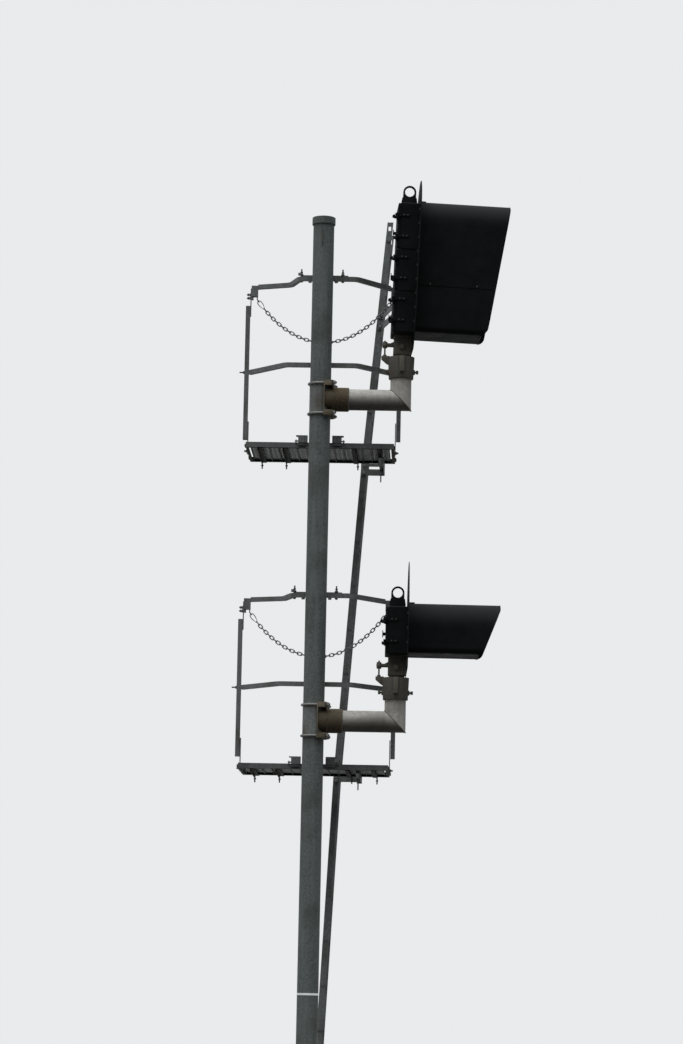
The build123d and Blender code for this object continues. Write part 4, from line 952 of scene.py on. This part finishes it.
def makeLens(h, level, index, height):
    # A stepped lens: its face falls from the middle in rings
    rim = h["lensRadius"]
    steps = [(rim, 0), (rim, h["lensRim"])]
    for step in range(h["lensSteps"]):
        radius = rim * (1 - (step + 0.4) / (h["lensSteps"] + 1))
        rise = h["lensRim"] + h["lensDome"] * (1 - (radius / rim) ** 2)
        steps += [(radius + 0.6, rise - h["lensStep"]), (radius, rise)]
    steps.append((2, h["lensRim"] + h["lensDome"]))
    lens = turnProfile(steps, sides=64)
    matrix = headMatrix(level) @ along((h["lensBack"] * mm, 0, height * mm), (1, 0, 0))
    whole = gather([(lens, matrix)], f"{level}_stepped_lens_{index}")
    nodeName = f"{level}_lens_{index}"
    material = nodes[nodeName].data.materials[0]
    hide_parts(nodeName)
    finishPiece(whole, f"{level}_head", material)


def makeHeadScrews(h, level):
    heights = lampHeights(h, level)
    screw = makeHexagon(*h["screw"])
    clipScrew = makeHexagon(*h["clipScrew"])
    rivet = turnProfile(h["rivet"], sides=12)
    washer = makeWasher(*h["washer"])
    pieces = []

    def put(piece, x, y, z, way):
        pieces.append((piece, headMatrix(level) @ along((x * mm, y * mm, z * mm), way)))

    for height in heights:
        for index in range(h["clipScrews"]):
            angle = (index + 0.5) * 2 * pi / h["clipScrews"]
            y, z = h["clipRing"] * cos(angle), height + h["clipRing"] * sin(angle)
            put(clipScrew, h["ringFace"], y, z, (1, 0, 0))
        for side in (-h["sideScrew"], h["sideScrew"]):
            for rise in h["sideRises"]:
                for piece in (washer, screw):
                    put(piece, h["plateBack"], side, height + rise, (-1, 0, 0))
        for share in h["hinges"]:
            z = height - h["firstLamp"] + h["doorFoot"] + share * h["lampPitch"] + h["knuckle"]
            for x in h["strapScrews"]:
                put(rivet, x, h["strapFace"], z, (0, -1, 0))
    for angle in h["archAngles"]:
        y, z = h["archScrew"] * cos(radians(angle)), heights[-1] + h["archScrew"] * sin(radians(angle))
        put(screw, h["plateBack"], y, z, (-1, 0, 0))
    if len(heights) > 1:
        for side in (-1, 1):
            for x in h["rivets"]:
                put(rivet, h["hoodRoot"] + x, side * h["hoodHalf"], h["seam"], (0, side, 0))
    top = h["caseTop"] + (len(heights) - 1) * h["lampPitch"] + h["eyeFoot"]
    for x in (-h["eyeScrew"][0], h["eyeScrew"][0]):
        for y in (-h["eyeScrew"][1], h["eyeScrew"][1]):
            put(screw, h["eyeX"] + x, y, top, (0, 0, 1))
    screws = gather(pieces, f"{level}_head_screws")
    finishPiece(screws, f"{level}_head", finishes["darkScrew"])


# The rolled edge round each hood's mouth
hem = {
    "wire": 5.0,
    "length": 608.0,
    "floor": 446.0,
    "bend": 40.0,
    "brow": 45.0,
    "corner": 62.0,
    "cut": {"lower": 21.0, "upper": 8.0},
    "steps": (6, 12, 16),   # of a bottom corner, a side and half the arch
}


def hemX(h, cut, top, z):
    # How far out the hood's edge lies at a height
    front = head["hoodRoot"] + h["length"]
    low = h["floor"] - 1
    lean = tan(radians(cut))
    straight = front - max(top - h["brow"] - z, 0) * lean
    back = front - (top - h["brow"] - h["floor"]) * lean
    centreX = back - h["corner"] / tan(radians((90 + cut) / 2))
    if z > low + h["corner"] * (1 - sin(radians(cut))):
        return straight
    return centreX + sqrt(max(h["corner"] ** 2 - (z - low - h["corner"]) ** 2, 0))


def hemOutline(h, centre):
    half, bend, floor = head["hoodHalf"], h["bend"], h["floor"]
    cornerSteps, sideSteps, archSteps = h["steps"]
    outline = [(0, floor), (half - bend, floor)]
    for step in range(1, cornerSteps + 1):
        angle = step / cornerSteps * pi / 2
        outline.append((half - bend + bend * sin(angle), floor + bend - bend * cos(angle)))
    rise = centre - floor - bend
    outline += [(half, floor + bend + rise * step / sideSteps) for step in range(1, sideSteps + 1)]
    for step in range(1, archSteps + 1):
        angle = step / archSteps * pi / 2
        outline.append((half * cos(angle), centre + half * sin(angle)))
    return outline + [(-y, z) for y, z in reversed(outline[1:-1])]


def makeHem(h, level):
    centre = lampHeights(head, level)[-1]
    outline = hemOutline(h, centre)
    wire = bpy.data.curves.new("hem line", "CURVE")
    wire.dimensions = "3D"
    wire.bevel_depth = h["wire"] / 2 * mm
    wire.bevel_resolution = 3
    line = wire.splines.new("POLY")
    line.points.add(len(outline) - 1)
    for point, (y, z) in zip(line.points, outline):
        x = hemX(h, h["cut"][level], centre + head["hoodHalf"], z)
        point.co = (x * mm, y * mm, z * mm, 1)
    line.use_cyclic_u = True
    edge = bpy.data.objects.new(f"{level}_hood_hem", wire)
    bpy.context.scene.collection.objects.link(edge)
    pickOnly(edge)
    bpy.ops.object.convert(target="MESH")
    edge = bakePlace(bpy.context.object, headMatrix(level))
    smoothByAngle(edge, 60)
    finishPiece(edge, f"{level}_head", finishes["blackEnamel"])


for level in levels:
    makeHeadScrews(head, level)
    for index, height in enumerate(lampHeights(head, level)):
        makeLens(head, level, index + 1, height)
    makeHem(hem, level)
print("head details made")


# Bolts and nuts of the platforms and rails
platform = {
    "half": 500.0,
    "near": 88.0,
    "far": 698.0,
    "frame": 35.0,
    "joists": (-403.0, -235.0, 230.0, 402.0),
    "joistBolt": (14.0, 684.0),          # out from a joist's middle, and from the mast's axis
    "joistHeight": 22.0,
    "joistInset": (22.0, 40.0),          # of the bolts to the frame, near and far
    "joistSeat": 5.0,
    "nut": (17.0, 8.0),
    "washer": (22.0, 10.0, 2.0),
    "button": ((7, 0), (6, 2), (3, 3.2)),
    "cornerBolts": (40.0, 90.0),
    "footFace": 506.6,
    "footBolts": (375.0, 393.0),
    "footDrop": 14.0,
    "studs": (112.0, 674.0),
    "postOut": 538.0,
    "midRail": 532.0,
    "midThread": (10.0, 2.0),            # bar, pitch
    "midBolt": {-1: 34.0, 1: 16.0},      # how far the ends stand out, left and right
    "cornerNut": 519.0,
    "cornerBolt": (1052.0, 1076.0),
    "railBolts": (-147.0, 133.0),
    "railY": 76.95,
    "rail": 1130.0,
    "railHalf": 19.0,
    "railThread": (10.8, 30.0, 10.0),    # bar, length, foot over the rail
    "railNut": (18.0, 7.0, 16.0),        # flats, height, foot over the rail
    "railHead": (20.0, 9.0),
    "railWasher": (26.0, 10.0, 2.5),
}


def makePlatformBolts(p, level):
    deck = deckHeight(level)
    nut = makeHexagon(*p["nut"])
    washer = makeWasher(*p["washer"])
    button = turnProfile(p["button"], sides=8)
    pieces = []

    def put(piece, x, y, z, way):
        pieces.append((piece, along((x * mm, y * mm, deck + z * mm), way)))

    for x in p["joists"]:
        out = 1 if x > 0 else -1
        put(nut, x + out * p["joistBolt"][0], p["joistBolt"][1], -p["frame"] - p["joistHeight"], (0, 0, -1))
        for y in (p["near"] + p["joistInset"][0], p["far"] - p["joistInset"][1]):
            put(nut, x, y, p["joistSeat"] - p["frame"], (0, 0, 1))
    for side in (-1, 1):
        way = (side, 0, 0)
        for inset in p["cornerBolts"]:
            for y in (p["near"] + inset, p["far"] - inset):
                put(washer, side * p["half"], y, -p["frame"] / 2, way)
                put(nut, side * (p["half"] + p["washer"][2]), y, -p["frame"] / 2, way)
        for y in p["footBolts"]:
            put(nut, side * p["footFace"], y, -p["footDrop"], way)
        put(washer, side * p["postOut"], postPlane, p["midRail"], way)
        put(nut, side * (p["postOut"] + p["washer"][2]), postPlane, p["midRail"], way)
        bar, pitch = p["midThread"]
        midEnd = makeThread(bar, p["midBolt"][side], pitch)
        put(midEnd, side * p["postOut"], postPlane, p["midRail"], way)
        for z in p["cornerBolt"]:
            put(nut, side * p["cornerNut"], postPlane, z, way)
    for index in range(plank["count"]):
        for y in p["studs"]:
            put(button, plankX(plank, index), y, -plank["below"], (0, 0, 1))
    top, under = p["rail"] + p["railHalf"], p["rail"] - p["railHalf"]
    threadBar, threadLength, threadFoot = p["railThread"]
    for x in p["railBolts"]:
        put(makeThread(threadBar, threadLength), x, p["railY"], top + threadFoot, (0, 0, 1))
        put(makeHexagon(*p["railNut"][:2]), x, p["railY"], top + p["railNut"][2], (0, 0, 1))
        put(makeHexagon(*p["railHead"]), x, p["railY"], under, (0, 0, -1))
        put(makeWasher(*p["railWasher"]), x, p["railY"], top, (0, 0, 1))
    bolts = gather(pieces, f"{level}_platform_bolts")
    finishPiece(bolts, "mast_assembly", finishes["boltSteel"])


# Bolts of the ladder's brackets and stays
ladder = {
    "nearFace": 794.7,
    "knots": ((-20.0, 0.0), (136.0, 3432.0), (287.0, 5597.0), (436.0, 7297.0)),
    "frame": 35.3,
    "webBolts": {"lower": (-18.0, 4.0), "upper": (-45.0, 6.0)},
    "postBolts": {"lower": 293.0, "upper": 410.0},
    "stays": (953.0, 1031.0),
    "stayBolt": 4.0,        # right of the stile's middle
    "post": (523.0, 369.0),
    "nut": (17.0, 8.0),
    "washer": (24.0, 10.0, 2.0),
}


def ladderX(l, z):
    for (x0, z0), (x1, z1) in zip(l["knots"], l["knots"][1:]):
        if z <= z1:
            return x0 + (x1 - x0) * (z - z0) / (z1 - z0)
    return x1


def makeLadderBolts(l):
    nut = makeHexagon(*l["nut"])
    washer = makeWasher(*l["washer"])
    pieces = []

    def put(x, y, z):
        for piece, face in ((washer, y), (nut, y - l["washer"][2])):
            pieces.append((piece, along((x * mm, face * mm, z * mm), (0, -1, 0))))

    for level in levels:
        under = deckHeight(level) / mm - l["frame"]
        for rise in l["webBolts"][level]:
            put(ladderX(l, under + rise), l["nearFace"], under + rise)
        put(l["postBolts"][level], l["nearFace"], under + l["webBolts"][level][0])
    deck = deckHeight("upper") / mm
    for rise in l["stays"]:
        put(ladderX(l, deck + rise) + l["stayBolt"], l["nearFace"], deck + rise)
    put(*l["post"], deck + l["stays"][0])
    bolts = gather(pieces, "ladder_bolts")
    finishPiece(bolts, "mast_assembly", finishes["boltZinc"])


# Anchors of the base
anchor = {
    "out": 140.0,
    "bar": 24.0,
    "top": 92.0,
    "pitch": 4.0,
    "flange": 28.0,
    "nut": (36.0, 20.0),
    "washer": (56.0, 26.0, 5.0),
}


def makeAnchors(a):
    rod = makeThread(a["bar"], a["top"] - a["flange"], a["pitch"], sides=12)
    nut = makeHexagon(*a["nut"])
    washer = makeWasher(*a["washer"])
    pieces = []
    for x in (-a["out"], a["out"]):
        for y in (-a["out"], a["out"]):
            for piece, z in ((rod, a["flange"]), (washer, a["flange"]), (nut, a["flange"] + a["washer"][2])):
                pieces.append((piece, Matrix.Translation((x * mm, y * mm, z * mm))))
    anchors = gather(pieces, "anchor_bolts")
    finishPiece(anchors, "mast_assembly", finishes["boltZinc"])


for level in levels:
    makePlatformBolts(platform, level)
makeLadderBolts(ladder)
makeAnchors(anchor)
print("platform, rail, ladder and base bolts made")


# Floor, lights and world
studio = {
    "floorHalf": 40.0,
    "floorColour": "#b9b9b6",
    "bounceColour": "#1c1c1b",
    "backColour": "#e9ebec",
    "overhead": 1.7,
    "horizon": 0.03,
    "keyTurn": (14, -10, 0),
    "keyStrength": 2.4,
    "keyAngle": 55,
}


def addSeenRays(tree):
    # One for rays that show the backdrop: straight from the camera, mirrored or through glass
    path = addNode(tree, "ShaderNodeLightPath").outputs
    mirrored = addMath(tree, "MAXIMUM", path["Is Glossy Ray"], path["Is Transmission Ray"])
    return addMath(tree, "MAXIMUM", path["Is Camera Ray"], mirrored)


def makeFloor(s):
    # Matte and pale, but it throws little light back up on what hangs above it
    deselectAll()
    bpy.ops.mesh.primitive_plane_add(size=2 * s["floorHalf"], location=(0, 0, -2 * mm))
    floor = bakePlace(bpy.context.object)
    floor.name = "floor"
    material, tree, shader, _ = newMaterial("matte studio floor", {"Roughness": 0.9})
    tone = mixColours(tree, addSeenRays(tree), s["bounceColour"], s["floorColour"])
    feed(shader.inputs["Base Color"], tone)
    floor.data.materials.append(material)


def makeStudio(s):
    makeFloor(s)
    world = bpy.data.worlds.new("studio")
    bpy.context.scene.world = world
    world.use_nodes = True
    tree = world.node_tree
    tree.nodes.clear()
    plain = addNode(tree, "ShaderNodeBackground", {"Color": s["backColour"], "Strength": 1.0})
    height = splitAxes(tree, addNode(tree, "ShaderNodeTexCoord").outputs["Generated"])["Z"]
    sky = addNode(tree, "ShaderNodeMapRange", {"Value": height, "To Min": s["horizon"],
                  "To Max": s["overhead"]})
    lit = addNode(tree, "ShaderNodeBackground", {"Strength": sky.outputs["Result"]})
    mix = addNode(tree, "ShaderNodeMixShader", {0: addSeenRays(tree), 1: lit.outputs[0], 2: plain.outputs[0]})
    addNode(tree, "ShaderNodeOutputWorld", {"Surface": mix.outputs[0]})
    sun = bpy.data.lights.new("key", "SUN")
    sun.energy = s["keyStrength"]
    sun.angle = radians(s["keyAngle"])
    key = bpy.data.objects.new("key", sun)
    key.rotation_euler = [radians(turn) for turn in s["keyTurn"]]
    bpy.context.scene.collection.objects.link(key)


makeStudio(studio)
bpy.context.scene.view_settings.view_transform = "Standard"
print("studio ready")
